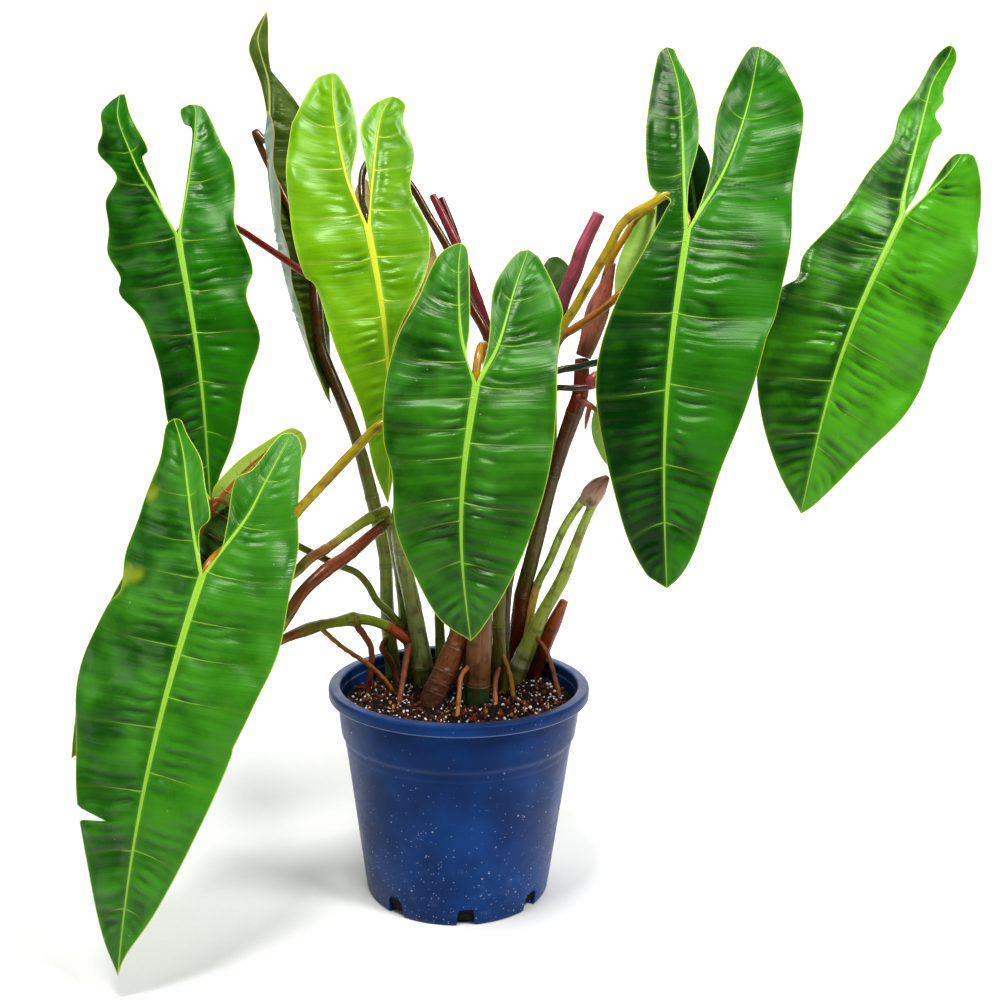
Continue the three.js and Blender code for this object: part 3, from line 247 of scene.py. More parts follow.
            "-94 -22, -71 -9, -45 3, -14 9", "-42 -8, -74 -20", "-66 -50 -34 -16 4 24 44 84 124",
        ),
        "right": (
            "-12 28, 20 38, 80 40, 140 36, 200 22, 254 0", "-7 12", "-4 18", "10 50 90 130 170",
        ),
    },
    # A leaf in the shade behind the right leaves: its near black greens are partly painted shade, darker than
    # its own green for the shade it lies in
    "leaf_dark_right": {
        "at": (223, 8, 654), "tip": (228, -8, 462), "bend": (8, -4), "facing": 4, "fold": 10, "bow": 8,
        "lobe_back": 3, "sway": 4, "ruffle": (3, 90), "steps": COARSE, "deep": "#0a2410",
        "lit": "#163c1c", "rib": "#5c8434", "vein": "#3c6a2c",
        "left": (
            "-106 -12, -90 -26, -50 -36, 0 -42, 60 -50, 110 -42, 160 -24, 193 0", "-88 6, -66 15, -28 11",
            "-50 -4", "-70 -30 20 70 120",
        ),
        "right": (
            "-80 62, -60 74, -10 72, 50 60, 110 42, 160 22, 193 0", "-60 42, -28 18", "-40 34",
            "-60 -20 30 80 130",
        ),
    },
}

# Stems: slot, skin, colours at shares of the length, rings by distance along and height, route,
# and radii spread evenly along it. All run from the route's first point, which lies 20 mm deep
# where a stem stands in the soil. A petiole's last two points come from its leaf.
STEMS = {
    # Stems and crowns that stand in the soil
    "trunk_lean": (
        "stem_brown", "cork", "0.1 #482c26, 0.28 #68371d, 0.6 #86471a, 1 #9b571d",
        "32 1, 42 0.7, 54 0.9, 78 0.6, 104 0.6",
        "-27 -14 174, -27 -14 195, -14 -4 226, -2 8 253, 7 20 292, 17 30 344", "12 12 11.5 11 10 8.5",
    ),
    "trunk_sheath": (
        "dry_sheath", "paper",
        "0.13 #123811, 0.25 #1b461f, 0.27 #6c4626, 0.45 #8a5832, 0.7 #764a28, 1 #98683a", "38 1.2",
        "17 -5 174, 17 -5 195, 19 -5 237, 21 -6 278, 24 -8 319", "13 13 12.5 12 10 6",
    ),
    "stem_left": (
        "stem_green", "green", "0.08 #5c5a2e, 0.15 #747c40, 0.17 #91a05e, 0.55 #84934c, 1 #7f9636",
        "24 0.8, 40 1.2, 110 0.8, 176 0.8",
        "-38 45 174, -38 45 195, -42 42 232, -50 30 288, -59 14 338, -62 4 376, -55 -6 417",
        "10 11 9 8.5 8 7 5",
    ),
    "stem_fork": (
        "stem_dark", "green", "0 #573a16, 0.35 #657628, 0.6 #657628, 1 #809534",
        "60 0.8, 78 1.2, 130 0.8",
        "-52 66 174, -52 66 195, -53 60 224, -57 52 251, -61 46 286, -66 38 328, -71 30 362, -74 27 377",
        "5.5 6 7 5.5 5.5 5.5",
    ),
    "stem_side": (
        "stem_green", "green",
        "0 #933117, 0.16 #a7491d, 0.2 #7f9524, 0.55 #8ea325, 0.78 #958e29, 0.9 #a7462c, 1 #a78826",
        "28 0.8, 70 1.6, 73 1.2, 112 0.8",
        "-54 40 243, -72 34 257, -88 24 267, -105 10 273, -121 -6 274, -136 -24 275, -149 -40 274, "
        "-160 -52 272, -173 -62 267",
        "7 5.5 5.3 5.5 6.6 5.3 5.6 6.4 5 4",
    ),
    "fork_upper": (
        "stem_green", "green", "0 #7c8823, 0.4 #9eaa38, 0.7 #a75532, 1 #a1ba3c", "20 0.8, 56 0.8, 88 1",
        "-74 26 381, -85 16 378, -95 4 374, -113 -18 363, -127 -36 354, -141 -52 347, -151 -62 337, "
        "-161 -70 329",
        "6 6 5 4.6 4.6 5 5 3",
    ),
    "fork_lower": (
        "stem_dark", "green", "0 #75862a, 0.14 #883924, 0.6 #9b472d, 0.84 #95572f, 1 #799b2b",
        "18 0.8, 62 0.8, 100 1",
        "-72 28 371, -76 20 368, -87 8 361, -107 -22 346, -129 -50 333, -146 -66 317, -155 -74 302, "
        "-166 -80 282",
        "5 5.5 6 6.4 6.4 6 5.6 4",
    ),
    "stem_right": (
        "stem_dark", "green",
        "0 #591a05, 0.18 #762306, 0.3 #6d2e03, 0.36 #595718, 0.6 #4a3f15, 0.72 #481e09, 0.84 #4e1407, "
        "0.9 #761b15, 1 #86352a",
        "112 0.6, 190 0.8, 250 1, 318 0.9",
        "58 84 174, 58 84 195, 60 80 232, 64 72 288, 72 62 325, 84 50 380, 95 42 427, 105 36 464, "
        "116 30 501, 117 28 536",
        "9.5 10.5 10 8.5 8 7 6.5 8 8.5 7",
    ),
    "pair_thick": (
        "stem_green", "green",
        "0 #5c5a2e, 0.14 #8c8c48, 0.17 #cac790, 0.26 #b0ba4d, 0.6 #9caf37, 1 #a1ba4f",
        "22 1, 36 1.4, 52 0.8",
        "57 63 174, 57 63 195, 62 63 212, 73 60 240, 84 57 268, 104 52 308, 111 50 328, 124 46 366, "
        "137 42 398",
        "10 10 9 7 7 6 5 5",
    ),
    "pair_thin": (
        "stem_green", "green", "0 #e8ba5b, 0.3 #ebc158, 0.38 #9dba36, 1 #c6d65b", "60 0.8",
        "68 72 238, 72 70 264, 79 66 298, 90 62 323, 105 56 361, 123 49 392, 128 47 400",
        "4 4.5 4.5 4.6 4.5 4.5",
    ),
    # Sheaths, young leaves still rolled up, and buds
    "cataphyll_right": (
        "dry_sheath", "paper", "0 #7c3428, 0.3 #b46856, 0.7 #9a4c3c, 1 #733224", "",
        "118 28 537, 123 27 552, 128 27 570, 134 27 592, 140 27 610, 146 27 628",
        "7.5 9 10.5 11 8.5 5 1.5",
    ),
    "sheath_cap": (
        "dry_sheath", "paper", "0 #a8a060, 0.3 #c09080, 0.7 #b07c70, 1 #6a3024", "",
        "127 47 386, 132 45 397, 139 42 408, 147 40 417", "9 11.5 9 2.5",
    ),
    "horn_sheath": (
        "dry_sheath", "paper", "0.1 #591805, 0.5 #762506, 0.8 #903707, 1 #b25f22", "",
        "77 74 174, 77 74 195, 84 66 223, 91 62 245, 100 59 267, 107 57 284", "6 7.5 8 7.5 4.5",
    ),
    "spear_pink": (
        "young_leaf", "flesh", "0 #616140, 0.6 #535342, 0.8 #614046, 0.88 #a9445d, 1 #c75a73", "330 0.5",
        "30 62 174, 30 62 195, 42 66 260, 55 62 340, 73 50 442, 86 40 523, 97 28 592, 106 22 616, "
        "114 18 641, 129 14 674",
        "5 5 5 5 5.5 6 6.5 7.5 6",
    ),
    "spear_maroon": (
        "young_leaf", "flesh", "0 #615135, 0.5 #532f24, 0.75 #641c29, 1 #862636", "200 0.6, 420 0.6",
        "4 54 174, 4 54 195, 12 50 291, 30 44 435, 25 38 555, 9 35 602, -8 36 644, -20 37 668, -32 38 691",
        "4.5 4.5 4.5 4.5 5 4.5 5 3.5",
    ),
    "spear_dark": (
        "young_leaf", "flesh", "0 #2b130b, 0.6 #3a1010, 1 #570611", "",
        "28 44 555, 14 48 581, -1 50 627, -14 52 665, -24 54 690", "3 4 4 4 3",
    ),
    # Petioles, each from its crown to behind its leaf
    "petiole_tall_back": (
        "stem_dark", "green",
        "0 #73803c, 0.2 #748635, 0.42 #595725, 0.5 #3e290f, 0.75 #3a1b08, 1 #572d06",
        "70 0.8, 140 0.9, 214 1",
        "-73 72 174, -73 72 195, -76 73 224, -80 75 274, -82 76 321, -98 78 396, -114 80 453, "
        "-136 86 507, -150 92 541, -155 98 580, -163 112 630",
        "8.5 8 7 7.5 6.5 6.5 6.5 5 4 3.5",
    ),
    "petiole_upper_left": (
        "stem_dark", "flesh", "0 #572d16, 0.5 #59100b, 0.75 #6b000c, 1 #86000a", "",
        "-6 40 174, -6 40 195, -8 42 260, -14 46 328, -36 52 440, -80 56 530, -125 54 589, -167 50 620, "
        "-202 50 643, -225 50 657, -250 44 664",
        "5 4.5 4 4 3.8 3.6 3.5 3.5",
    ),
    "petiole_lime": (
        "stem_dark", "green", "0 #63711d, 0.35 #592d0b, 0.6 #4a1503, 0.85 #3a1b0b, 1 #292f0f", "150 0.6",
        "18 33 174, 18 33 195, 24 30 260, 32 26 330, 40 18 474, 24 13 554, 5 16 589, -16 18 640, "
        "-34 20 669, -51 20 697, -68 17 714, -84 12 722, -94 4 710, -94 -12 682",
        "5 5 4.5 4.5 4.5 4.5 4 3.5 3",
    ),
    "petiole_front": (
        "petiole_gold", "green", "0 #7d5011, 0.5 #8b7616, 0.8 #ad7109, 1 #bc8a0a", "",
        "22 -8 306, 27 -22 362, 28 -44 433, 27 -70 501, 25 -94 536, 22 -114 551, 19 -132 546",
        "5 4.5 4.5 4.5 4.5 4.5 4 3.5",
    ),
    "petiole_lower_left": (
        "petiole_gold", "green", "0 #7d7b1a, 0.4 #a69818, 0.7 #b6990a, 0.93 #b87d0a, 1 #bc6a0a", "",
        "4 22 318, -6 8 362, -19 -22 420, -32 -56 466, -48 -84 484, -69 -94 479, -92 -102 456, "
        "-118 -108 428, -139 -108 405, -158 -99 383, -190 -104 377",
        "5 4.5 4.5 4.5 4.5 4.2 4",
    ),
    "petiole_right": (
        "petiole_gold", "green", "0 #625c19, 0.4 #7d7b1a, 0.62 #9f880b, 0.85 #b5970a, 1 #c2b210",
        "90 0.7",
        "42 28 174, 42 28 195, 39 26 270, 42 18 334, 51 8 417, 67 -4 501, 92 -18 562, 106 -24 585, "
        "122 -30 615, 134 -34 637, 144 -38 658, 155 -40 669, 171 -42 678, 186 -43 686",
        "8 7 5.5 4.5 4.5 4.5 4.2 4",
    ),
    "petiole_dark_right": (
        "petiole_gold", "green", "0 #514819, 0.5 #62360c, 0.7 #985410, 1 #b57c10", "",
        "46 47 174, 46 47 195, 47 47 286, 58 44 372, 76 36 465, 84 24 524, 95 7 556, 109 6 566, "
        "131 6 581, 148 8 596, 170 14 616, 199 18 638",
        "5 4.5 4.5 4.2 4 4 3.8 3.5",
    ),
    "petiole_far_right": (
        "stem_dark", "flesh", "0 #48481b, 0.35 #322813, 0.5 #263830, 0.6 #2a4437, 0.9 #482011, 1 #673d0b",
        "",
        "30 84 174, 30 84 195, 38 84 260, 44 78 340, 56 44 425, 68 16 490, 80 3 519, 94 3 525, 111 5 528, "
        "129 12 532, 183 34 537, 253 40 546, 329 36 578, 380 18 638",
        "5 4.5 4 3.6 3.5 3.5 3.5 3.5",
    ),
    "petiole_pale_right": (
        "petiole_gold", "green", "0 #a3560e, 0.5 #b4780c, 1 #bc9c20", "",
        "125 37 556, 136 42 606, 143 44 629, 149 45 641, 157 47 654, 167 52 670, 180 62 680",
        "3.5 3.5 3.5 3.2 3",
    ),
    "petiole_lower_left_back": (
        "stem_green", "green", "0 #677824, 0.7 #758231, 0.88 #8a7a2c, 1 #a0521e", "30 0.6",
        "-61 42 257, -72 34 272, -85 22 289, -93 12 308, -103 0 323, -120 -18 335, -150 -44 357, "
        "-182 -64 380",
        "4 3.8 3.6 3.4 2.8 2",
    ),
    "petiole_back_left": (
        "stem_green", "green", "0 #627421, 0.6 #74862a, 1 #9b7118", "60 0.6",
        "-22 70 174, -22 70 195, -26 84 280, -34 104 400, -50 112 520, -66 114 610, -76 110 646",
        "6 5 4.5 4.2 3.6",
    ),
    "petiole_back_centre": (
        "stem_green", "green", "0 #54691f, 1 #73882a", "60 0.6",
        "8 84 174, 8 84 195, 14 92 280, 34 86 400, 58 70 500", "6 5 4.5 4.2 3.6",
    ),
    # Aerial roots
    "root_side": (
        "aerial_root", "root", "0 #69270d, 0.5 #883c1a, 1 #763215", "",
        "-107 8 271, -99 7 261, -90 10 244, -90 12 223, -94 15 192, -94 15 178", "3.5 3.2 3 3 2.6",
    ),
    "root_side_tan": (
        "aerial_root", "root", "0 #9b7128, 0.5 #955e15, 1 #a36920", "",
        "-136 -23 273, -117 -14 252, -92 -2 230, -76 8 210, -66 15 192, -62 18 180",
        "2.6 2.4 2.4 2.4 2.2",
    ),
    "root_inner": (
        "aerial_root", "root", "0 #67250e, 1 #783215", "",
        "-78 70 238, -84 61 228, -74 56 215, -66 51 192, -64 50 178", "3.4 3.2 3 2.6",
    ),
    "root_node": (
        "aerial_root", "root", "0 #76321b, 1 #884124", "",
        "-53 38 241, -55 26 228, -57 8 213, -60 -11 192, -61 -15 180", "3.6 3.2 3 2.6",
    ),
    "root_front": (
        "aerial_root", "root", "0 #86471a, 0.5 #b26e2a, 1 #ba762d", "",
        "12 -9 234, 3 -19 225, 1 -38 209, 0 -54 192, 0 -60 182", "2.6 2.4 2.2 2",
    ),
    "root_pink": (
        "aerial_root", "root", "0 #a35235, 1 #ba7451", "",
        "41 24 221, 37 12 213, 36 -6 202, 38 -22 192, 39 -28 182", "2.4 2.4 2.2 2",
    ),
    "root_tan": (
        "aerial_root", "root", "0 #ab7928, 1 #a36416", "",
        "42 25 236, 47 17 227, 52 8 212, 55 0 192, 56 -4 182", "2.6 2.4 2.4 2",
    ),
    "root_right": (
        "aerial_root", "root", "0 #78371a, 1 #88492a", "",
        "75 57 247, 88 42 234, 96 28 214, 102 12 192, 104 6 180", "2.6 2.4 2.4 2",
    ),
    "root_reaching": (
        "aerial_root", "flesh", "0 #282b25, 0.7 #31362c, 1 #572d2b", "",
        "83 40 499, 88 20 504, 93 3 508, 106 -6 508.5, 122 -8 510", "3 3 3 3",
    ),
    "root_tip_pink": (
        "aerial_root", "flesh", "0 #862a3a, 0.6 #ab424c, 1 #ba615c", "",
        "120 -8 509, 124 -8 513, 127 -8 519, 128 -8 525", "3 6.5 6.5 2",
    ),
    "rootlets_right": (
        "aerial_root", "root", "0 #ab4f3d, 1 #c27359", "", "114 26 499, 119 14 494, 126 8 490, 133 4 484",
        "3.6 3.2 3 1",
    ),
}

# Side branches, in the same mesh as their stem: route and radii
BRANCHES = {"rootlets_right": ("124 9 491, 122 6 480, 120 5 468", "2.6 2.4 0.8")}

# Each skin: its material, how long its streaks are drawn out, how strongly they colour it, the
# colour they go to, the ring colour, the roughness and the bump's depth in metres.
SKINS = {
    "green": ("smooth_green_rind", 0.10, 0.6, "#2c2a10", "#a9a878", 0.22, 0.00035),
    "flesh": ("waxy_young_shoot", 0.12, 0.4, "#140a08", "#8a6a5a", 0.2, 0.00025),
    "cork": ("corky_old_stem", 0.35, 0.75, "#241008", "#b8a890", 0.3, 0.0009),
    "paper": ("dry_papery_sheath", 0.06, 0.8, "#3c1c0c", "#c8b898", 0.33, 0.0008),
    "root": ("wrinkled_aerial_root", 0.3, 0.7, "#3c1e14", "#a88468", 0.6, 0.0008),
}


def read_numbers(text):
    """The numbers written in a text."""
    return [float(word) for word in text.split()]


def read_points(text):
    """The points written in a text, as lists of their numbers."""
    return [read_numbers(point) for point in text.split(",") if point]


def smooth_line(points, spread=0.5, carried_on=True, fineness=24):
    """Dense points of the Catmull-Rom curve through the given ones.

    Between b and c, with neighbours a and d, it is the cubic that leaves b and reaches c with the
    slopes of the parabolas through a, b, c and through b, c, d, whose knots stand apart by the
    chord to the power of spread. Past an end the neighbour is that end again, or, where the curve
    is carried on, as far beyond it as the last step.
    """
    p = np.asarray(points, float)
    before, after = (2 * p[0] - p[1], 2 * p[-1] - p[-2]) if carried_on else (p[0], p[-1])
    a, b, c, d = np.vstack([before, p[:-2]]), p[:-1], p[1:], np.vstack([p[2:], after])
    ab, bc, cd = (
        np.maximum(np.linalg.norm(y - x, axis=1, keepdims=True), 1e-6) ** spread
        for x, y in ((a, b), (b, c), (c, d))
    )
    leave = ((b - a) / ab - (c - a) / (ab + bc) + (c - b) / bc) * bc
    reach = ((c - b) / bc - (d - b) / (bc + cd) + (d - c) / cd) * bc
    s = (np.arange(fineness) / fineness)[None, :, None]
    b, c, leave, reach = (x[:, None, :] for x in (b, c, leave, reach))
    cubic = b + leave * s + (3 * (c - b) - 2 * leave - reach) * s**2
    cubic = cubic + (2 * (b - c) + leave + reach) * s**3
    return np.vstack([cubic.reshape(-1, p.shape[1]), p[-1]])


def steps_along(line):
    """Distance of each point of a line from its start, measured along it."""
    return np.concatenate([[0], np.cumsum(np.linalg.norm(np.diff(line, axis=0), axis=1))])


def along(line, share):
    """Points at the given shares of a line's length."""
    steps = steps_along(line)
    at = np.asarray(share, float) * steps[-1]
    return np.stack([np.interp(at, steps, column) for column in line.T], axis=-1)


def ease(low, high, value):
    """Smooth step: 0 below low and 1 above high, by 3x^2 - 2x^3 between."""
    x = np.clip((value - low) / (high - low), 0, 1)
    return x * x * (3 - 2 * x)


def ripple(x, y, pitch, seed):
    """Smooth unevenness between about -1 and 1: the mean of six sine waves of seeded directions,
    phases and lengths near pitch, over the plane of x and y."""
    draw = np.random.default_rng(seed)
    turn, shift = draw.uniform(0, 2 * np.pi, (2, 6))
    length = pitch * draw.uniform(0.6, 1.7, 6)
    x, y = np.asarray(x, float)[..., None], np.asarray(y, float)[..., None]
    waves = np.sin(2 * np.pi * (x * np.cos(turn) + y * np.sin(turn)) / length + shift)
    return waves.mean(axis=-1) * 1.8


def grid_faces(rows, columns, closed=False, turned=False, first=0):
    """Two triangles for each cell of a grid of points that is stored row by row. A closed grid's
    last column joins its first. turned faces them the other way."""
    i, j = np.meshgrid(np.arange(rows - 1), np.arange(columns - (not closed)), indexing="ij")
    right = (j + 1) % columns
    a, b = i * columns + j, i * columns + right
    c, d = (i + 1) * columns + right, (i + 1) * columns + j
    faces = np.concatenate([np.stack([a, b, c], -1), np.stack([a, c, d], -1)]).reshape(-1, 3)
    return first + (faces[:, ::-1] if turned else faces)


def tube_faces(rows, sides, turned=False):
    """A closed grid's triangles, and two fans that join its first and last row to the two points
    stored after the grid. turned faces them the other way."""
    around = np.arange(sides)
    following = (around + 1) % sides
    last = (rows - 1) * sides
    back = np.stack([0 * around + rows * sides, following, around], 1)
    front = np.stack([0 * around + rows * sides + 1, last + around, last + following], 1)
    faces = np.vstack([grid_faces(rows, sides, closed=True), back, front])
    return faces[:, ::-1] if turned else faces


def both_faces(sheet, faces, out, up, down):
    """A thin closed body: the sheet moved up and down along out, joined round every open edge.

    Returns points and triangles. The upper side's points come first, and the edge is closed with
    two triangles on each triangle side that no other triangle shares."""
    count = len(sheet)
    points = np.vstack([sheet + out * up[:, None], sheet - out * down[:, None]])
    sides = np.vstack([faces[:, [0, 1]], faces[:, [1, 2]], faces[:, [2, 0]]])
    code = sides[:, 0] * count + sides[:, 1]
    a, b = sides[~np.isin(code, sides[:, 1] * count + sides[:, 0])].T
    rim = np.vstack([np.stack([a, a + count, b + count], 1), np.stack([a, b + count, b], 1)])
    return points, np.vstack([faces, faces[:, ::-1] + count, rim])


def smooth_mesh(name, points, faces, material):
    """A smoothly shaded mesh of one material, from points in metres."""
    mesh = bpy.data.meshes.new(name)
    mesh.from_pydata(points, [], faces)
    mesh.shade_smooth()
    mesh.materials.append(material)
    return mesh


def put_in(name, data):
    """Puts a mesh, a lamp or a camera into the scene as an object."""
    made = bpy.data.objects.new(name, data)
    bpy.context.scene.collection.objects.link(made)
    return made


def add_piece(name, points, faces, material, slot, stands_for=(), **marks):
    """Makes a smooth mesh piece from points in millimetres and triangles, with one number a point
    for each mark, and lets it ride on the plant."""
    mesh = smooth_mesh(name, points * MM, faces, material)
    for mark, values in marks.items():
        values = np.asarray(values, np.float32)
        kind, key = ("FLOAT", "value") if values.ndim == 1 else ("FLOAT_VECTOR", "vector")
        mesh.attributes.new(mark, kind, "POINT").data.foreach_set(key, values.ravel())
    made = put_in(name, mesh)
    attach(made, "root")
    if stands_for:
        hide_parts(*stands_for)


def tint(code):
    """An sRGB hex colour as the linear numbers that a shader takes."""
    value = np.array([int(code[k:k + 2], 16) for k in (1, 3, 5)]) / 255
    line = np.where(value <= 0.04045, value / 12.92, ((value + 0.055) / 1.055) ** 2.4)
    return (*(float(x) for x in line), 1.0)


def node(tree, kind, settings=None, links=(), out=0):
    """Adds a shader node. settings are its own properties. links gives its sockets, in their order
    or by name or number, a value, a hex colour or the output that feeds them. Returns the output
    asked for."""
    made = tree.nodes.new("ShaderNode" + kind)
    for key, value in (settings or {}).items():
        setattr(made, key, value)
    for key, value in (links.items() if isinstance(links, dict) else enumerate(links)):
        if isinstance(value, bpy.types.NodeSocket):
            tree.links.new(value, made.inputs[key])
        else:
            made.inputs[key].default_value = tint(value) if isinstance(value, str) else value
    return made.outputs[out] if len(made.outputs) else made


def start_material(name):
    """An empty node material and its tree."""
    material = bpy.data.materials.new(name)
    material.use_nodes = True
    material.node_tree.nodes.clear()
    return material, material.node_tree


def overlay(tree, colour, *layers):
    """A colour under layers. A layer is a pattern, the values between which it comes to show, its
    strength there and its colour. A pattern with a colour alone is the layer's share as it is."""
    for pattern, *span, shown in layers:
        if span:
            start, full, strength = span
            pattern = node(tree, "MapRange", SMOOTH, (pattern, start, full, 0.0, strength))
        colour = node(tree, "Mix", {"data_type": "RGBA"}, {0: pattern, 6: colour, 7: shown}, 2)
    return colour


def scattered_dots(tree, place, scale, dot, chance, *helped):
    """Dots scattered over a surface. Each shows as its distance goes through the span dot, and as
    strongly as the number drawn for it, raised by patterns with their weights, goes through the
    span chance."""
    distance = node(tree, "TexVoronoi", None, {"Vector": place, "Scale": scale})
    drawn = node(tree, "SeparateColor", None, {"Color": distance.node.outputs["Color"]})
    for pattern, weight in helped:
        drawn = node(tree, "Math", TIMES_PLUS, (pattern, weight, drawn))
    near = node(tree, "MapRange", SMOOTH, (distance, *dot))
    chosen = node(tree, "MapRange", SMOOTH, (drawn, *chance))
    return node(tree, "Math", TIMES, (near, chosen))


def finish_surface(tree, colour, roughness, height, depth, specular, tinge="#ffffff"):
    """Ends a material: its colour, roughness, a bump whose height 1 stands depth metres high, and
    how strongly and in which tinge its gloss shows."""
    bump = node(tree, "Bump", None, {"Strength": 1.0, "Distance": depth, "Height": height})
    surface = node(tree, "BsdfPrincipled", None, {
        "Base Color": colour, "Roughness": roughness, "Normal": bump,
        "Specular IOR Level": specular, "Specular Tint": tinge,
    })
    node(tree, "OutputMaterial", None, {"Surface": surface})


def leaf_frame(leaf):
    """Directions of a leaf: down its midrib, out of its upper side and across to its right."""
    at = np.array(leaf["at"], float)
    down = np.array(leaf["tip"], float) - at
    length = np.linalg.norm(down)
    down /= length
    turn = math.radians(leaf["facing"])
    face = np.array([math.sin(turn), -math.cos(turn), 0])
    face -= down * (face @ down)
    face /= np.linalg.norm(face)
    return at, down, face, np.cross(face, down), length


def behind_leaf(leaf, back, on):
    """A point near a leaf's petiole joint: so far behind the blade and so far along its midrib."""
    at, down, face, _, _ = leaf_frame(leaf)
    return at - face * back + down * on


def leaf_surface(leaf, u, v):
    """Where the flat leaf's point (u, v) lies once the blade is folded, bowed and ruffled.

    The midrib sways sideways by one half sine wave, and out is the distance from it. The height
    is a wave along u that grows with the square of out, less the fold, whose hyperbola rounds the
    midrib, plus the parabola of the bow, less the parabola that bends the lobes back.
    """
    at, down, face, right, length = leaf_frame(leaf)
    run = u / length
    midrib = np.where((run > 0) & (run < 1), leaf["sway"] * np.sin(np.pi * run), 0)
    out = v - midrib
    slope = math.radians(leaf["fold"])
    rise, pitch = leaf["ruffle"]
    wave = np.sin(2 * np.pi * u / pitch + np.where(out > 0, RUFFLE_SHIFT, 0))
    wave = rise * (out / RUFFLED_HALF) ** 2 * wave
    arch = 4 * leaf["bow"] * run * np.where(run > 0, 1 - run, 1)
    back = np.where(u < 0, leaf["lobe_back"] * (u / 100) ** 2, 0)
    width = midrib + out * math.cos(slope)
    height = wave - (np.hypot(out, FOLD_ROUND) - FOLD_ROUND) * math.sin(slope) + arch - back
    return at + down * u[:, None] + right * width[:, None] + face * height[:, None]


def among_veins(origin, veins):
    """Where tissue lies that leaves its rib at origin. Returns the count of main lateral veins up
    to there, which slows outside the first and last, the gap between the two beside it, and the
    count of finer veins, which share each gap evenly about PUCKER apart."""
    anchors = np.array([veins[0] - BEYOND, *veins, veins[-1] + BEYOND])
    count_up = np.arange(-1, len(veins) + 1, dtype=float)
    count_up[[0, -1]] = -0.48, len(veins) - 0.52
    gaps = np.diff(veins)
    folds = np.concatenate([[0], np.cumsum(np.maximum(np.round(gaps / PUCKER), 2))])
    before = (origin - veins[0]) / PUCKER
    after = folds[-1] + (origin - veins[-1]) / PUCKER
    outside = (origin < veins[0]) | (origin > veins[-1])
    fine = np.where(outside, np.where(origin < veins[0], before, after), np.interp(origin, veins, folds))
    gap = gaps[np.clip(np.searchsorted(veins, origin) - 1, 0, len(gaps) - 1)]
    return np.interp(origin, anchors, count_up), np.where(outside, BEYOND / 0.48, gap), fine


def half_leaf(leaf, side, length):
    """Flat points of one half of a leaf, with what the blade's relief and colour need to know.

    Rows run from the rib to the margin. In the lobe they start on the lobe's rib, at equal shares
    of its length and of the margin's, and a second strip of rows reaches the sinus. In the blade
    they start on the midrib. Columns stand closer at the rib and at the margin.
    """
    margin, sinus, rib, veins = leaf["right" if side > 0 else "left"]
    margin, sinus, rib = (read_points(text) for text in (margin, sinus, rib))
    veins, steps = read_numbers(veins), leaf["steps"]
    scale, end = length / margin[-1][0], margin[0]
    margin, rib, sinus = (
        smooth_line(np.array(line) * scale, 0, False)
        for line in (margin, [end, *reversed(rib), [0, 0]], [end, *sinus, [0, 0]])
    )
    shares = np.arange(0, 1, 0.005)
    split = shares[np.argmax(along(margin, shares)[:, 0] >= LOBE_BEGINS)]
    lobe = np.linspace(0, 1, steps["lobe"] + 1)
    run = np.linspace(0, 1, steps["blade"] + 1)[1:]
    midrib = np.stack([run * length, leaf["sway"] * np.sin(np.pi * run)], 1)
    start = np.vstack([along(rib, lobe), midrib])
    edge = along(margin, np.concatenate([split * lobe, split + (1 - split) * run]))
    if "tear" in leaf and side < 0:
        at, deep, half = leaf["tear"]
        edge[:, 1] += deep * np.clip(1 - np.abs(edge[:, 0] - at) / half, 0, 1)
    station = np.concatenate([(lobe - 1) * steps_along(rib)[-1], run * length])

    # The midrib's thickness and half width; the slant and forward sweep of the lateral veins
    thick = np.concatenate([0.7 * lobe, (1 - run) ** 0.8])
    wide = np.concatenate([0.4 + 1.7 * lobe**1.4, 0.45 + 3.0 * (1 - run) ** 1.35])
    wide[:len(lobe)] += 1.2 * ease(0.85, 1, lobe)
    slant = np.concatenate([0 * lobe, 6 * ease(0.08, 0.6, run)])
    sweep = np.concatenate([-11 + 0 * lobe, 20 * run - 9])
    strips = []
    near = np.array([0, 1.0, 2.2, 3.5, 5.5])
    sides = ((edge, steps["across"], False), (along(sinus, lobe), steps["inner"], True))
    for reach, count, inner in sides:
        rows = len(reach)
        width = np.linalg.norm(reach - start[:rows], axis=1)
        close = np.minimum(near[None, :] / np.maximum(width, 1e-6)[:, None], near / near[-1] * 0.4)
        open_part = 1 - (1 - np.linspace(0, 1, count)) ** 1.25
        t = np.hstack([close[:, :-1], close[:, -1:] + (1 - close[:, -1:]) * open_part])
        flat = start[:rows, None] * (1 - t[..., None]) + reach[:, None] * t[..., None]
        lean = 0.5 * ease(0, 0.12, np.concatenate([lobe * 0, run]))[:rows, None]
        origin = station[:rows, None] * (1 - lean) + flat[..., 0] * lean
        origin = origin - slant[:rows, None] * t - sweep[:rows, None] * t**2
        origin = origin + 1.1 * ripple(flat[..., 0], flat[..., 1], 70, 7)
        phase, gap, fine = among_veins(origin, veins)
        strips.append({
            "flat": flat, "share": t, "thick": thick[:rows, None] + 0 * t,
            "wide": wide[:rows, None] + 0 * t, "edge": width[:, None] * (1 - t),
            "rib": width[:, None] * t * (-side if inner else side),
            "phase": phase, "gap": gap, "fine": fine, "turned": (side > 0) != inner,
        })
    return strips


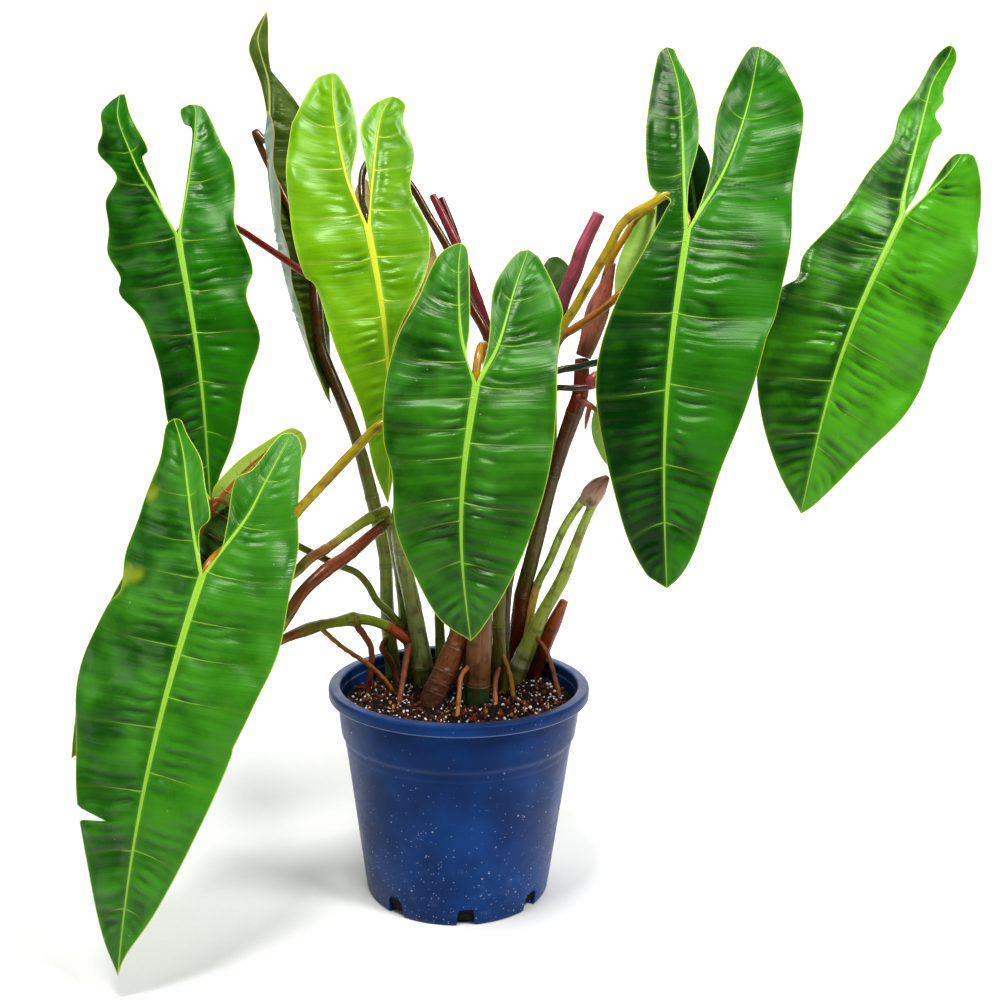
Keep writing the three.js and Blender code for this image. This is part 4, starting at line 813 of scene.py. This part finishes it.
def add_leaf(name, leaf):
    """A leaf blade, from the rows of its two halves welded along the ribs.

    The relief swells between the finer lateral veins by the square of a sine, less a half. It dips
    at the main ones, by a cosine and by a narrow bell curve, stands out over the midrib and has a
    groove beside it. The keel below is a parabola across the rib.
    """
    length = leaf_frame(leaf)[-1]
    strips = half_leaf(leaf, -1, length) + half_leaf(leaf, 1, length)
    faces, first = [], 0
    for strip in strips:
        rows, columns = strip["share"].shape
        faces.append(grid_faces(rows, columns, turned=strip["turned"], first=first))
        first += rows * columns
    flat = np.concatenate([strip["flat"].reshape(-1, 2) for strip in strips])
    _, kept, joined = np.unique(np.round(flat * 1000), axis=0, return_index=True, return_inverse=True)
    marks = {
        mark: np.concatenate([strip[mark].ravel() for strip in strips])[kept]
        for mark in ("share", "thick", "wide", "edge", "rib", "phase", "gap", "fine")
    }
    faces = joined.ravel()[np.concatenate(faces)]
    whole = (faces != np.roll(faces, 1, axis=1)).all(axis=1)
    faces, (u, v) = faces[whole], flat[kept].T

    here = leaf_surface(leaf, u, v)
    step = 0.5
    out = np.cross(leaf_surface(leaf, u + step, v) - leaf_surface(leaf, u - step, v),
                   leaf_surface(leaf, u, v + step) - leaf_surface(leaf, u, v - step))
    out /= np.linalg.norm(out, axis=1, keepdims=True)
    away = np.abs(marks["rib"])
    open_blade = ease(2, 14, away) * ease(0, 9, marks["edge"])
    pleat = np.sin(np.pi * (marks["fine"] + 0.25 * ripple(u, v, 34, 3))) ** 2 - 0.5
    inner = 1.2 - ease(0.2, 0.75, marks["share"]) + 0.5 * ease(0.35, 0.9, u / length)
    uneven = np.clip(0.6 + 0.9 * ripple(u, v, 42, 11), 0.1, 1.4)
    main = np.abs(marks["phase"] - np.round(marks["phase"])) * marks["gap"]
    relief = 1.7 * pleat * open_blade * inner * uneven
    relief -= 0.9 * np.cos(2 * np.pi * marks["phase"]) * open_blade * (1.1 - 0.6 * marks["share"])
    relief -= 0.8 * np.exp(-((main / 2.2) ** 2)) * open_blade * (1 - marks["share"])
    swell = 1.9 * ripple(u, v, 52, len(name)) * open_blade
    # The mark swell takes the relief into the colour: painted shade in its hollows, painted light on its
    # crests
    marks["swell"] = relief + 0.35 * swell
    relief += swell
    relief += 0.45 * np.exp(-((away / marks["wide"]) ** 4)) - 0.35 * np.exp(-(((away - 6) / 3) ** 2))
    half_thick = (BLADE_EDGE + (BLADE - BLADE_EDGE) * ease(0, 12, marks["edge"])) / 2
    keel = KEEL * marks["thick"] * np.clip(1 - (away / KEEL_HALF) ** 2, 0, 1) * ease(0, 2, marks["edge"])
    points, faces = both_faces(here, faces, out, half_thick + relief, half_thick - relief + keel)
    marks["spot"] = 0 * u
    for at, to, tall, broad in read_points(leaf.get("spots", "")):
        marks["spot"] += np.exp(-(((u - at) / tall) ** 2) - ((v - to) / broad) ** 2)
    marks["spot"] = np.clip(marks["spot"], 0, 1)
    doubled = {mark: np.tile(marks[mark], 2) for mark in BLADE_MARKS}
    doubled["under"] = np.repeat([0.0, 1.0], len(here))
    material = lamina(name, {**GREEN, **leaf})
    slot = leaf.get("slot", "leaf_green")
    add_piece("blade_" + name[5:], points, faces, material, slot, [name], **doubled)


def lamina(name, look):
    """Waxy living leaf blade. The wax gives a soft broad gloss, the tissue between the lateral
    veins is mottled, and the midrib, lateral veins and a hairline margin are paler and yellower.
    Painted shade darkens the relief's hollows and painted light lightens its crests, and both
    lighten or darken each half as the lamps fall on it."""
    material, tree = start_material("waxy_leaf_blade_" + name[5:])
    place = node(tree, "TexCoord", out=3)
    mark = {key: node(tree, "Attribute", {"attribute_name": key}, out=2) for key in (*BLADE_MARKS, "under")}

    # Blotches of about 40 mm, clouds of 110 mm, and streaks that follow the finer veins
    blotch = node(tree, "TexNoise", None, {"Vector": place, "Scale": 24.0, "Detail": 4.0})
    cloud = node(tree, "TexNoise", None, {"Vector": place, "Scale": 9.0, "Detail": 2.0})
    warp = node(tree, "Math", TIMES_PLUS, (mark["fine"], 4.0, blotch))
    streak = node(tree, "TexNoise", {"noise_dimensions": "1D"}, {"W": warp, "Scale": 1.0, "Detail": 2.0})
    # Painted light on the pleats' crests between the finer veins, and painted shade in their grooves
    painted_crest_light = node(tree, "Math", {"operation": "PINGPONG"}, (mark["fine"], 0.5))

    # Main lateral veins: 2 mm across where they leave the midrib, and gone near the margin
    near = node(tree, "Math", {"operation": "PINGPONG"}, (mark["phase"], 0.5))
    near = node(tree, "Math", TIMES, (near, mark["gap"]))
    half_wide = node(tree, "MapRange", SMOOTH, (mark["share"], 0.0, 0.6, 1.0, 0.28))
    vein = node(tree, "MapRange", SMOOTH, (near, half_wide, 0.05))
    vein = node(tree, "Math", TIMES, (vein, node(tree, "MapRange", SMOOTH, (mark["share"], 0.8, 0.25))))
    away = node(tree, "Math", {"operation": "ABSOLUTE"}, (mark["rib"],))
    past = node(tree, "Math", {"operation": "SUBTRACT"}, (away, mark["wide"]))
    rib = node(tree, "MapRange", SMOOTH, (past, 0.35, -0.3))

    # Painted light and shade: halves lightens or darkens each half of the blade as the lamps fall on it
    side = node(tree, "MapRange", SMOOTH, (mark["rib"], -5.0, 5.0, *look.get("halves", (0.0, 0.0))))
    # swell, in the loop below, adds painted shade in the relief's hollows and painted light on its crests
    share = blotch
    for pattern, weight in ((painted_crest_light, 0.16), (streak, 0.12), (side, 1.0), (mark["swell"], 0.15)):
        share = node(tree, "Math", TIMES_PLUS, (pattern, weight, share))
    share = node(tree, "MapRange", SMOOTH, (share, 0.28, 0.93))
    yellowed = node(tree, "Math", TIMES, (mark["spot"], blotch))
    upper = overlay(
        tree, look["deep"], (share, look["lit"]), (cloud, 0.42, 0.66, 0.4, look["lit"]),
        (mark["edge"], 5.0, 0.0, 0.12, look["vein"]), (yellowed, 0.12, 0.6, 0.7, "#98a018"),
        (near, 4.0, 0.0, 0.12, look["vein"]), (past, 3.0, 0.0, 0.14, look["vein"]),
        (vein, look["vein"]), (rib, look["rib"]),
    )
    lower = overlay(tree, look["under"], (node(tree, "Math", TIMES, (share, 0.5)), look["vein"]))
    if "turning" in look:
        height = node(tree, "SeparateXYZ", None, (place,), 2)
        height = node(tree, "Math", TIMES_PLUS, (blotch, 0.03, height))
        start, full, code = look["turning"]
        lower = overlay(tree, lower, (height, start, full, 1.0, code))
    lower = overlay(tree, lower, (vein, look["under_rib"]), (rib, look["under_rib"]))

    # Dried water spots, under half a millimetre across, on a few places in every 12 mm
    dried = scattered_dots(tree, place, 90.0, (0.06, 0.02), (0.72, 0.8, 0.0, 0.6))
    colour = overlay(tree, upper, (mark["under"], lower), (mark["edge"], 1.0, 0.35, 1.0, look["edge"]),
                     (dried, "#c9d8b8"))

    # The wax's tooth is finer than a millimetre, and drawn at 1.4 mm so that it shows
    grain = node(tree, "TexNoise", None, {"Vector": place, "Scale": 700.0, "Detail": 3.0})
    height = 0.0
    for pattern, rise in ((streak, 0.3), (grain, 0.10), (vein, 0.35), (rib, 0.5)):
        height = node(tree, "Math", TIMES_PLUS, (pattern, rise, height))
    roughness = node(tree, "MapRange", SMOOTH, (blotch, 0.3, 0.7, 0.25, 0.38))
    finish_surface(tree, colour, roughness, height, 0.0007, look.get("wax", 0.42), "#bcd4a8")
    return material


def steadiest(heading):
    """A direction that a route never comes close to: of some spread over a half sphere, the one
    whose largest share along the route's headings is smallest."""
    turn, lift = np.meshgrid(np.linspace(0, np.pi, 12, endpoint=False), np.linspace(-1.4, 1.4, 9))
    tries = np.stack([np.cos(turn) * np.cos(lift), np.sin(turn) * np.cos(lift), np.sin(lift)], -1)
    tries = tries.reshape(-1, 3)
    return tries[np.argmin(np.abs(tries @ heading.T).max(axis=1))]


def tube(route, radii, rings=(), sides=24, relief=None):
    """A round section carried along a smooth route, with rounded ends.

    The radii are spread evenly along it. Each ring swells it by a bell curve 3 mm wide with a
    groove at its middle, and relief(length along, angle, radius) adds what else stands out.
    Returns points, triangles and the marks run, ring and grain.
    """
    line = smooth_line(route)
    length = steps_along(line)[-1]
    spots = np.array([ring[0] for ring in rings], float)
    close = (spots[:, None] + np.array([-4, -2, -1, -0.5, 0, 0.5, 1, 2, 4])).ravel()
    cap = min(radii[0], radii[-1], length / 4) * 0.25
    rounding = cap * (1 - np.cos(np.linspace(0, np.pi / 2, 6)))
    place = np.concatenate([np.arange(cap, length - cap, 2.8), close, rounding, length - rounding])
    place = np.unique(np.round(np.clip(place, 0, length), 3))
    share = place / length
    centre = along(line, share)
    heading = np.gradient(centre, place, axis=0)
    heading /= np.linalg.norm(heading, axis=1, keepdims=True)
    one = np.cross(heading, steadiest(heading))
    one /= np.linalg.norm(one, axis=1, keepdims=True)
    other = np.cross(heading, one)
    course = smooth_line(np.stack([np.arange(len(radii)), radii], 1), 0, False)
    radius = np.interp(share * (len(radii) - 1), course[:, 0], course[:, 1])
    end = np.clip(np.minimum(place, length - place) / cap, 0, 1)
    radius = radius * np.maximum(np.sqrt(1 - (1 - end) ** 2), 0.04)
    p, a = np.meshgrid(place, 2 * np.pi * np.arange(sides) / sides, indexing="ij")
    gap = np.full_like(place, 99.0)
    full = radius[:, None] + np.zeros_like(p)
    for spot, rise in rings:
        away = place - spot
        full += (0.6 * rise * (np.exp(-((away / 3) ** 2)) - 0.5 * np.exp(-((away / 0.7) ** 2))))[:, None]
        gap = np.minimum(gap, np.abs(away))
    if relief:
        full += relief(p, a, radius[:, None]) * ease(0, 1, end)[:, None]
    cosine, sine = np.cos(a)[..., None], np.sin(a)[..., None]
    skin = centre[:, None] + full[..., None] * (cosine * one[:, None] + sine * other[:, None])
    points = np.vstack([skin.reshape(-1, 3), centre[:1], centre[-1:]])
    grain = np.stack([full * np.cos(a), full * np.sin(a), p], -1).reshape(-1, 3)
    marks = {
        "run": np.append(np.repeat(share, sides), [0, 1]),
        "ring": np.append(np.repeat(gap, sides), [99, 99]),
        "grain": np.vstack([grain, [0, 0, 0], [0, 0, length]]) * MM,
    }
    return points, tube_faces(len(place), sides), marks


def rind(name, kind, stops):
    """Skin of a stem. Its colours follow the length, broken by fibres drawn out along it; rings
    show as a pale hairline over a darker band. Rind and shoots are waxy, cork and sheaths dull."""
    skin, drawn_out, amount, dark, ring_colour, gloss, depth = SKINS[kind]
    material, tree = start_material(f"{skin}_{name}")
    run = node(tree, "Attribute", {"attribute_name": "run"}, out=2)
    ring = node(tree, "Attribute", {"attribute_name": "ring"}, out=2)
    grain = node(tree, "Attribute", {"attribute_name": "grain"}, out=1)
    ramp = node(tree, "ValToRGB", None, {"Fac": run})
    elements = ramp.node.color_ramp.elements
    for share, code in stops[1:-1]:
        elements.new(share).color = tint(code)
    for end in (0, -1):
        elements[end].position, elements[end].color = stops[end][0], tint(stops[end][1])

    # Fibres 2.4 mm wide, patches of 14 mm, rust marks of 22 mm and flecks of 1.1 mm
    fibres = node(tree, "Mapping", None, {"Vector": grain, "Scale": (1.0, 1.0, drawn_out)})
    streak = node(tree, "TexNoise", None, {"Vector": fibres, "Scale": 420.0, "Detail": 4.0})
    patch = node(tree, "TexNoise", None, {"Vector": grain, "Scale": 70.0, "Detail": 4.0})
    rust = node(tree, "TexNoise", None, {"Vector": grain, "Scale": 45.0, "Detail": 3.0})
    fleck = node(tree, "TexNoise", None, {"Vector": grain, "Scale": 900.0, "Detail": 2.0})
    broken = node(tree, "MapRange", SMOOTH, (patch, 0.6, 0.4))
    band, line = (
        node(tree, "Math", TIMES, (broken, node(tree, "MapRange", SMOOTH, (ring, *span))))
        for span in ((3.4, 1.4, 0.0, 0.4), (0.7, 0.3, 0.0, 0.3))
    )
    colour = overlay(
        tree, ramp, (streak, 0.5, 0.72, amount, dark), (patch, 0.5, 0.66, amount * 0.9, dark),
        (rust, 0.52, 0.68, 0.45, "#7a3a1a"), (band, dark), (line, ring_colour),
        (fleck, 0.68, 0.76, 0.35, ring_colour),
    )
    height = node(tree, "Math", TIMES_PLUS, (streak, 0.7, patch))
    roughness = node(tree, "MapRange", SMOOTH, (patch, 0.3, 0.7, gloss - 0.05, gloss + 0.12))
    finish_surface(tree, colour, roughness, height, depth, 0.62, "#ece0c4")
    return material


def skin_relief(kind, seed):
    """What stands out of a stem's round section, as shares of the radius: on sheaths flutes, by
    two cosines with 9 and 17 waves to a turn, and elsewhere a ripple over the skin, short as
    wrinkles on roots, longer as knobs on cork and longest and shallow on the rest."""
    def relief(place, turn, radius):
        wander = ripple(place, turn * 6, 40, seed)
        if kind == "paper":
            flutes = np.cos(9 * turn + 1.5 * wander) + 0.6 * np.cos(17 * turn - wander)
            return 0.035 * radius * flutes + 0.05 * radius * wander
        if kind == "root":
            return 0.12 * radius * ripple(place, turn * radius, 5, seed) + 0.06 * radius * wander
        if kind == "cork":
            return 0.03 * radius * ripple(place, turn * radius, 9, seed) + 0.03 * radius * wander
        return 0.025 * radius * wander
    return relief


def add_stem(name, slot, kind, colours, rings, route, radii):
    """A stem, petiole, sheath or root, with its side branch welded into the same mesh."""
    route = read_points(route)
    if name.startswith("petiole_"):
        leaf = LEAVES[name.replace("petiole", "leaf")]
        route += [behind_leaf(leaf, *leaf["bend"]), behind_leaf(leaf, *JOINT)]
    relief = skin_relief(kind, len(name) + 3)
    points, faces, marks = tube(route, read_numbers(radii), read_points(rings), relief=relief)
    if name in BRANCHES:
        route, radii = BRANCHES[name]
        more, more_faces, more_marks = tube(read_points(route), read_numbers(radii), relief=relief)
        faces = np.vstack([faces, more_faces + len(points)])
        points = np.vstack([points, more])
        marks = {key: np.concatenate([marks[key], more_marks[key]]) for key in marks}
    stops = [(float(share), code) for share, code in (stop.split() for stop in colours.split(","))]
    add_piece("dressed_" + name, points, faces, rind(name, kind, stops), slot, [name], **marks)


def soil_height(x, y):
    """Top of the soil: two long waves, and clods of 4 to 12 mm."""
    long = 1.6 * np.sin(x / 11 + 1) * np.cos(y / 9) + 1.2 * np.sin((x + y) / 23)
    return SOIL_LEVEL + long + 1.1 * ripple(x, y, 12, 5) + 0.9 * ripple(x, y, 5, 6)


def turned_body(radius, height, sides, squeeze=None):
    """A lathe surface: each profile point, given by radius and height, goes round the pot's axis."""
    turn = 2 * np.pi * np.arange(sides) / sides
    r, a = np.meshgrid(radius, turn, indexing="ij")
    z = np.repeat(np.asarray(height, float)[:, None], sides, axis=1)
    if squeeze:
        r, z = squeeze(r, a, z)
    points = np.stack([r * np.cos(a), r * np.sin(a), z], -1).reshape(-1, 3)
    return points, grid_faces(len(radius), sides, closed=True)


def add_soil():
    """The pot's filling: a fine top of polar rows, and a plain side and bottom."""
    top = np.linspace(114.5, 0.3, 96)
    r = BASE_RADIUS - WALL - 0.3
    on_top = 1000         # stands for the soil's own height in the profile
    radius = np.concatenate([[0.3, r - 2, r, 110.3, 111.7, 114.7, 117.0, 117.2], top])
    height = np.concatenate([[FLOOR + 0.3] * 2, [5.7, 152, 161.3, 166.3, 182, 189], 0 * top + on_top])

    def settle(r, a, z):
        return r, np.where(z == on_top, soil_height(r * np.cos(a), r * np.sin(a)), z)

    points, faces = turned_body(radius, height, 300, settle)
    material, tree = start_material("bark_and_peat_potting_mix")
    place = node(tree, "TexCoord", out=3)
    # Damp and matt, near black, in crumbs of about 4 mm and clods of 5 mm
    crumb = node(tree, "TexNoise", None, {"Vector": place, "Scale": 260.0, "Detail": 6.0, "Roughness": 0.7})
    clod = node(tree, "TexVoronoi", None, {"Vector": place, "Scale": 210.0})
    colour = overlay(tree, "#050302", (crumb, 0.35, 0.68, 1.0, "#1e110b"), (clod, 0.5, 0.9, 0.5, "#0a0605"))
    height = node(tree, "Math", {"operation": "ADD"}, (crumb, clod))
    finish_surface(tree, colour, 0.85, height, 0.0025, 0.2)
    add_piece("dressed_soil", points, faces, material, "potting_mix", ["soil"])


def rough_grains(count, sizes, flatness, seed):
    """Many small rough grains as one mesh: a ball of 4 by 7 corners and two poles, its corners
    shifted at random, scaled along three axes, turned at random and laid on the soil."""
    spread, sunk = 110.0, 0.25      # how far out grains lie, and a centre's height in grain sizes
    rows, sides = 4, 7
    draw = np.random.default_rng(seed)
    lift, turn = np.meshgrid(np.linspace(0.4, np.pi - 0.4, rows), 2 * np.pi * np.arange(sides) / sides,
                             indexing="ij")
    ball = np.stack([np.sin(lift) * np.cos(turn), np.sin(lift) * np.sin(turn), np.cos(lift)], -1)
    ball = np.vstack([ball.reshape(-1, 3), [[0, 0, 1], [0, 0, -1]]])
    faces = tube_faces(rows, sides, turned=True)
    size = draw.uniform(*sizes, count) / 2
    stretch = draw.uniform(0.65, 1.3, (count, 3)) * np.array([1, 1, flatness])
    shifted = ball[None] * draw.uniform(0.72, 1.15, (count, len(ball), 1))
    shifted = shifted * (size[:, None] * stretch)[:, None]
    axes = np.linalg.qr(draw.normal(size=(count, 3, 3)) * np.array([0.5, 0.5, 1])[None, :, None])[0]
    r, a = spread * np.sqrt(draw.uniform(0, 1, count)), draw.uniform(0, 2 * np.pi, count)
    x, y = r * np.cos(a), r * np.sin(a)
    centre = np.stack([x, y, soil_height(x, y) + size * sunk], -1)
    points = (np.einsum("nij,nkj->nki", axes, shifted) + centre[:, None]).reshape(-1, 3)
    faces = (faces[None] + (np.arange(count) * len(ball))[:, None, None]).reshape(-1, 3)
    return points, faces, np.repeat(draw.uniform(0, 1, count), len(ball))


def add_grains():
    """Perlite, bark crumbs and husk chips that lie on the soil: their count, sizes, flatness,
    random seed, two colours and roughness."""
    sorts = {
        "perlite": (540, (1.2, 3.4), 0.85, 21, "#e0ded4", "#fbfaf5", 0.8),
        "bark_crumbs": (1300, (1.8, 6.0), 0.55, 22, "#100603", "#7a3418", 0.75),
        "husk_chips": (60, (3.0, 8.0), 0.3, 23, "#8a4c18", "#d8a050", 0.6),
    }
    for sort, (count, sizes, flatness, seed, low, high, gloss) in sorts.items():
        points, faces, shade = rough_grains(count, sizes, flatness, seed)
        material, tree = start_material("potting_mix_" + sort)
        place = node(tree, "TexCoord", out=3)
        shown = node(tree, "Attribute", {"attribute_name": "shade"}, out=2)
        grain = node(tree, "TexNoise", None, {"Vector": place, "Scale": 900.0, "Detail": 4.0})
        share = node(tree, "Math", TIMES_PLUS, (grain, 0.6, shown))
        colour = overlay(tree, low, (share, 0.2, 1.3, 1.0, high))
        finish_surface(tree, colour, gloss, grain, 0.0006, 0.25)
        add_piece("soil_" + sort, points, faces, material, "potting_mix", shade=shade)


def from_notch(turn):
    """Distance along the pot's foot to the middle of the nearest of its eight drain notches."""
    middle = np.radians(-90 + 7 + 45 * np.arange(8))
    away = np.abs((turn[..., None] - middle + np.pi) % (2 * np.pi) - np.pi).min(axis=-1)
    return away * BASE_RADIUS


def add_pot():
    """The nursery pot: a closed wall whose foot rises over each drain notch, and a floor disc that
    draws in behind them. The notch is a box arch: the 8th power of the distance from its middle
    brings its top down to the foot at its sides."""
    outline = np.array([
        [BASE_RADIUS - 1.8, 0], [BASE_RADIUS - 0.6, 0.8], [BASE_RADIUS, 3], [95.4, 22], [99.5, 52.5],
        [103.6, 83], [107.8, 114], [112.9, 151.4], [113.4, 152.2], [114.2, 159.3], [114.9, 161.2],
        [117.0, 164.4], [117.5, 166.4], [119.0, 177], [119.7, 184], [120.2, 209.4], [120.9, 210.3],
        [126.4, 210.5], [127.5, 209.8], [127.9, 203.2], [128.4, 202.1], [129.4, 202.1], [130.0, 203.2],
        [130.2, 209.6], [129.7, 211.8], [128.4, 212.9], [126, 213], [121, 213], [119.4, 212.6],
        [118.3, 211], [117.4, 182], [115.1, 166], [112.1, 161], [110.6, 152], [100, 70],
        [BASE_RADIUS - WALL, 5.4], [BASE_RADIUS - WALL, 0],
    ])
    steps = steps_along(outline)
    fine = np.unique(np.concatenate([np.linspace(0, steps[-1], 80), steps]))
    radius, height = (np.interp(fine, steps, column) for column in outline.T)

    def raise_notches(r, a, z):
        foot = NOTCH_HEIGHT * np.sqrt(np.clip(1 - (from_notch(a) / NOTCH_HALF) ** 8, 0, 1))
        inside = np.arange(len(z))[:, None] > len(z) * 0.6
        low = np.maximum(z, foot)
        wall = BASE_RADIUS + WALL_SLOPE * (low - 3) - np.where(inside, WALL, 0)
        return np.where(z < foot, wall, r), low

    def draw_in(r, a, z):
        return np.where((from_notch(a) < NOTCH_HALF) & (r > NOTCH_DEEP), NOTCH_DEEP, r), z

    columns = 480
    points, faces = turned_body(radius, height, columns, raise_notches)
    j = np.arange(columns)
    k = (j + 1) % columns
    last = (len(radius) - 1) * columns
    closing = np.vstack([np.stack([last + j, last + k, k], 1), np.stack([last + j, k, j], 1)])
    disc = [0.2, 91.0, 91.2, 91.0, 0.2], [0, 0, 1.5, FLOOR, FLOOR]
    plate, plate_faces = turned_body(*disc, columns, draw_in)
    faces = np.vstack([faces, closing, plate_faces + len(points)])
    points = np.vstack([points, plate])

    material, tree = start_material("moulded_navy_polypropylene")
    place = node(tree, "TexCoord", out=3)
    height = node(tree, "SeparateXYZ", None, (place,), 2)

    # Satin plastic: clouds of about 60 mm in the colour, and a film of dust in patches of 18 mm
    cloud = node(tree, "TexNoise", None, {"Vector": place, "Scale": 16.0, "Detail": 5.0})
    film = node(tree, "TexNoise", None, {"Vector": place, "Scale": 55.0, "Detail": 6.0, "Roughness": 0.7})
    low_down = node(tree, "MapRange", SMOOTH, (height, 0.19, 0.0))
    dusty = node(tree, "Math", TIMES_PLUS, (low_down, 0.1, film))
    # Painted highlights: a pale line round the flange's lower edge, 202.2 mm up, and a paler blue over the
    # rim's top above 209.5 mm
    lip_highlight = node(tree, "Math", {"operation": "SUBTRACT"}, (height, 0.2022))
    lip_highlight = node(tree, "Math", {"operation": "ABSOLUTE"}, (lip_highlight,))
    colour = overlay(
        tree, "#092658", (cloud, 0.35, 0.7, 1.0, "#0f3a7a"), (dusty, 0.6, 0.9, 0.3, "#5d79a8"),
        (height, 0.2095, 0.2128, 0.12, "#4668a8"), (lip_highlight, 0.0012, 0.0004, 0.45, "#8ea4d0"),
    )

    # Pale flecks and specks of dust: 7, 2.4 and 13 mm apart, their reach and how rare they are
    for scale, reach, rare in ((150.0, 0.17, 0.30), (420.0, 0.25, 0.55), (75.0, 0.05, 0.75)):
        chance = (1.12 + rare * 0.1, 1.24 + rare * 0.1, 0.0, 0.75)
        dot = scattered_dots(tree, place, scale, (reach, reach * 0.45), chance, (low_down, 0.22), (film, 0.5))
        colour = overlay(tree, colour, (dot, "#c8d0dc"))

    # The moulded skin's tooth is finer still, and drawn at 0.7 mm so that it shows
    tooth = node(tree, "TexNoise", None, {"Vector": place, "Scale": 1500.0, "Detail": 2.0})
    roughness = node(tree, "MapRange", SMOOTH, (film, 0.3, 0.7, 0.3, 0.46))
    finish_surface(tree, colour, roughness, tooth, 0.00006, 0.24, "#7f9cd8")
    add_piece("dressed_pot", points, faces, material, "pot_plastic", ["pot"])


def add_camera():
    """Camera at the photograph's point of view."""
    camera = bpy.data.cameras.new("studio_camera")
    camera.sensor_width, camera.lens = 36, 42.16
    holder = put_in("studio_camera", camera)
    tilt = Matrix.Rotation(math.radians(80.7), 4, "X") @ Matrix.Rotation(math.radians(0.83), 4, "Z")
    holder.matrix_world = Matrix.Translation((0.0382, -1.131, 0.583)) @ tilt
    bpy.context.scene.camera = holder


def add_paper():
    """A pale sweep of paper: flat under the pot, and a quarter ellipse up behind it."""
    bend = np.linspace(0, np.pi / 2, 24)
    depth = np.concatenate([[-4.0], 2.2 + 1.4 * np.sin(bend), [3.6]])
    rise = np.concatenate([[0.0], 1.4 - 1.4 * np.cos(bend), [6.0]]) - 0.0004
    across = np.linspace(-6, 6, 25)
    x, y = np.meshgrid(across, depth, indexing="ij")
    sweep = np.stack([x, y, np.repeat(rise[None], len(across), 0)], -1).reshape(-1, 3)
    material, tree = start_material("matte_studio_paper")
    place = node(tree, "TexCoord", out=3)
    # Matt and nearly white, with a tooth that is drawn at about 1 mm so that it shows
    tooth = node(tree, "TexNoise", None, {"Vector": place, "Scale": 800.0, "Detail": 2.0})
    colour = overlay(tree, "#f3f3f1", (tooth, 0.3, 0.7, 1.0, "#f8f8f6"))
    finish_surface(tree, colour, 0.9, tooth, 0.0001, 0.1)
    mesh = smooth_mesh("paper_sweep", sweep, grid_faces(len(across), len(depth)), material)
    put_in("paper_sweep", mesh)


def add_lamps():
    """Soft round lamps, each by its place, its aim, its width and its power, and a bright surround
    that only the camera sees in full."""
    lamps = {
        "key": ((1.5, -1.2, 2.3), (0.05, 0, 0.45), 0.7, 52),
        "fill": ((-1.8, -1.4, 1.7), (0, 0, 0.45), 1.0, 9),
        "top": ((-0.3, -0.75, 2.6), (0, 0, 0.4), 0.6, 46),
        "backdrop": ((0.0, 1.2, 2.6), (0, 3.4, 1.2), 2.4, 130),
    }
    for name, (place, aim, size, power) in lamps.items():
        lamp = bpy.data.lights.new(name, "AREA")
        lamp.shape, lamp.size, lamp.energy = "DISK", size, power
        stand = put_in(name, lamp)
        x, y, z = np.array(place) - np.array(aim)
        stand.location = place
        stand.rotation_euler = (math.atan2(math.hypot(x, y), z), 0, math.atan2(x, -y))
    world = bpy.data.worlds.new("studio_air")
    world.use_nodes = True
    tree = world.node_tree
    tree.nodes.clear()
    seen = node(tree, "LightPath", out="Is Camera Ray")
    power = node(tree, "MapRange", SMOOTH, (seen, 0.0, 1.0, 0.09, 1.0))
    air = node(tree, "Background", None, {"Color": "#ffffff", "Strength": power})
    node(tree, "OutputWorld", None, {"Surface": air})
    bpy.context.scene.world = world
    bpy.context.scene.view_settings.view_transform = "Standard"


add_camera()
add_paper()
add_lamps()
add_pot()
add_soil()
add_grains()
for stem_name, stem in STEMS.items():
    add_stem(stem_name, *stem)
for leaf_name, leaf_shape in LEAVES.items():
    add_leaf(leaf_name, leaf_shape)
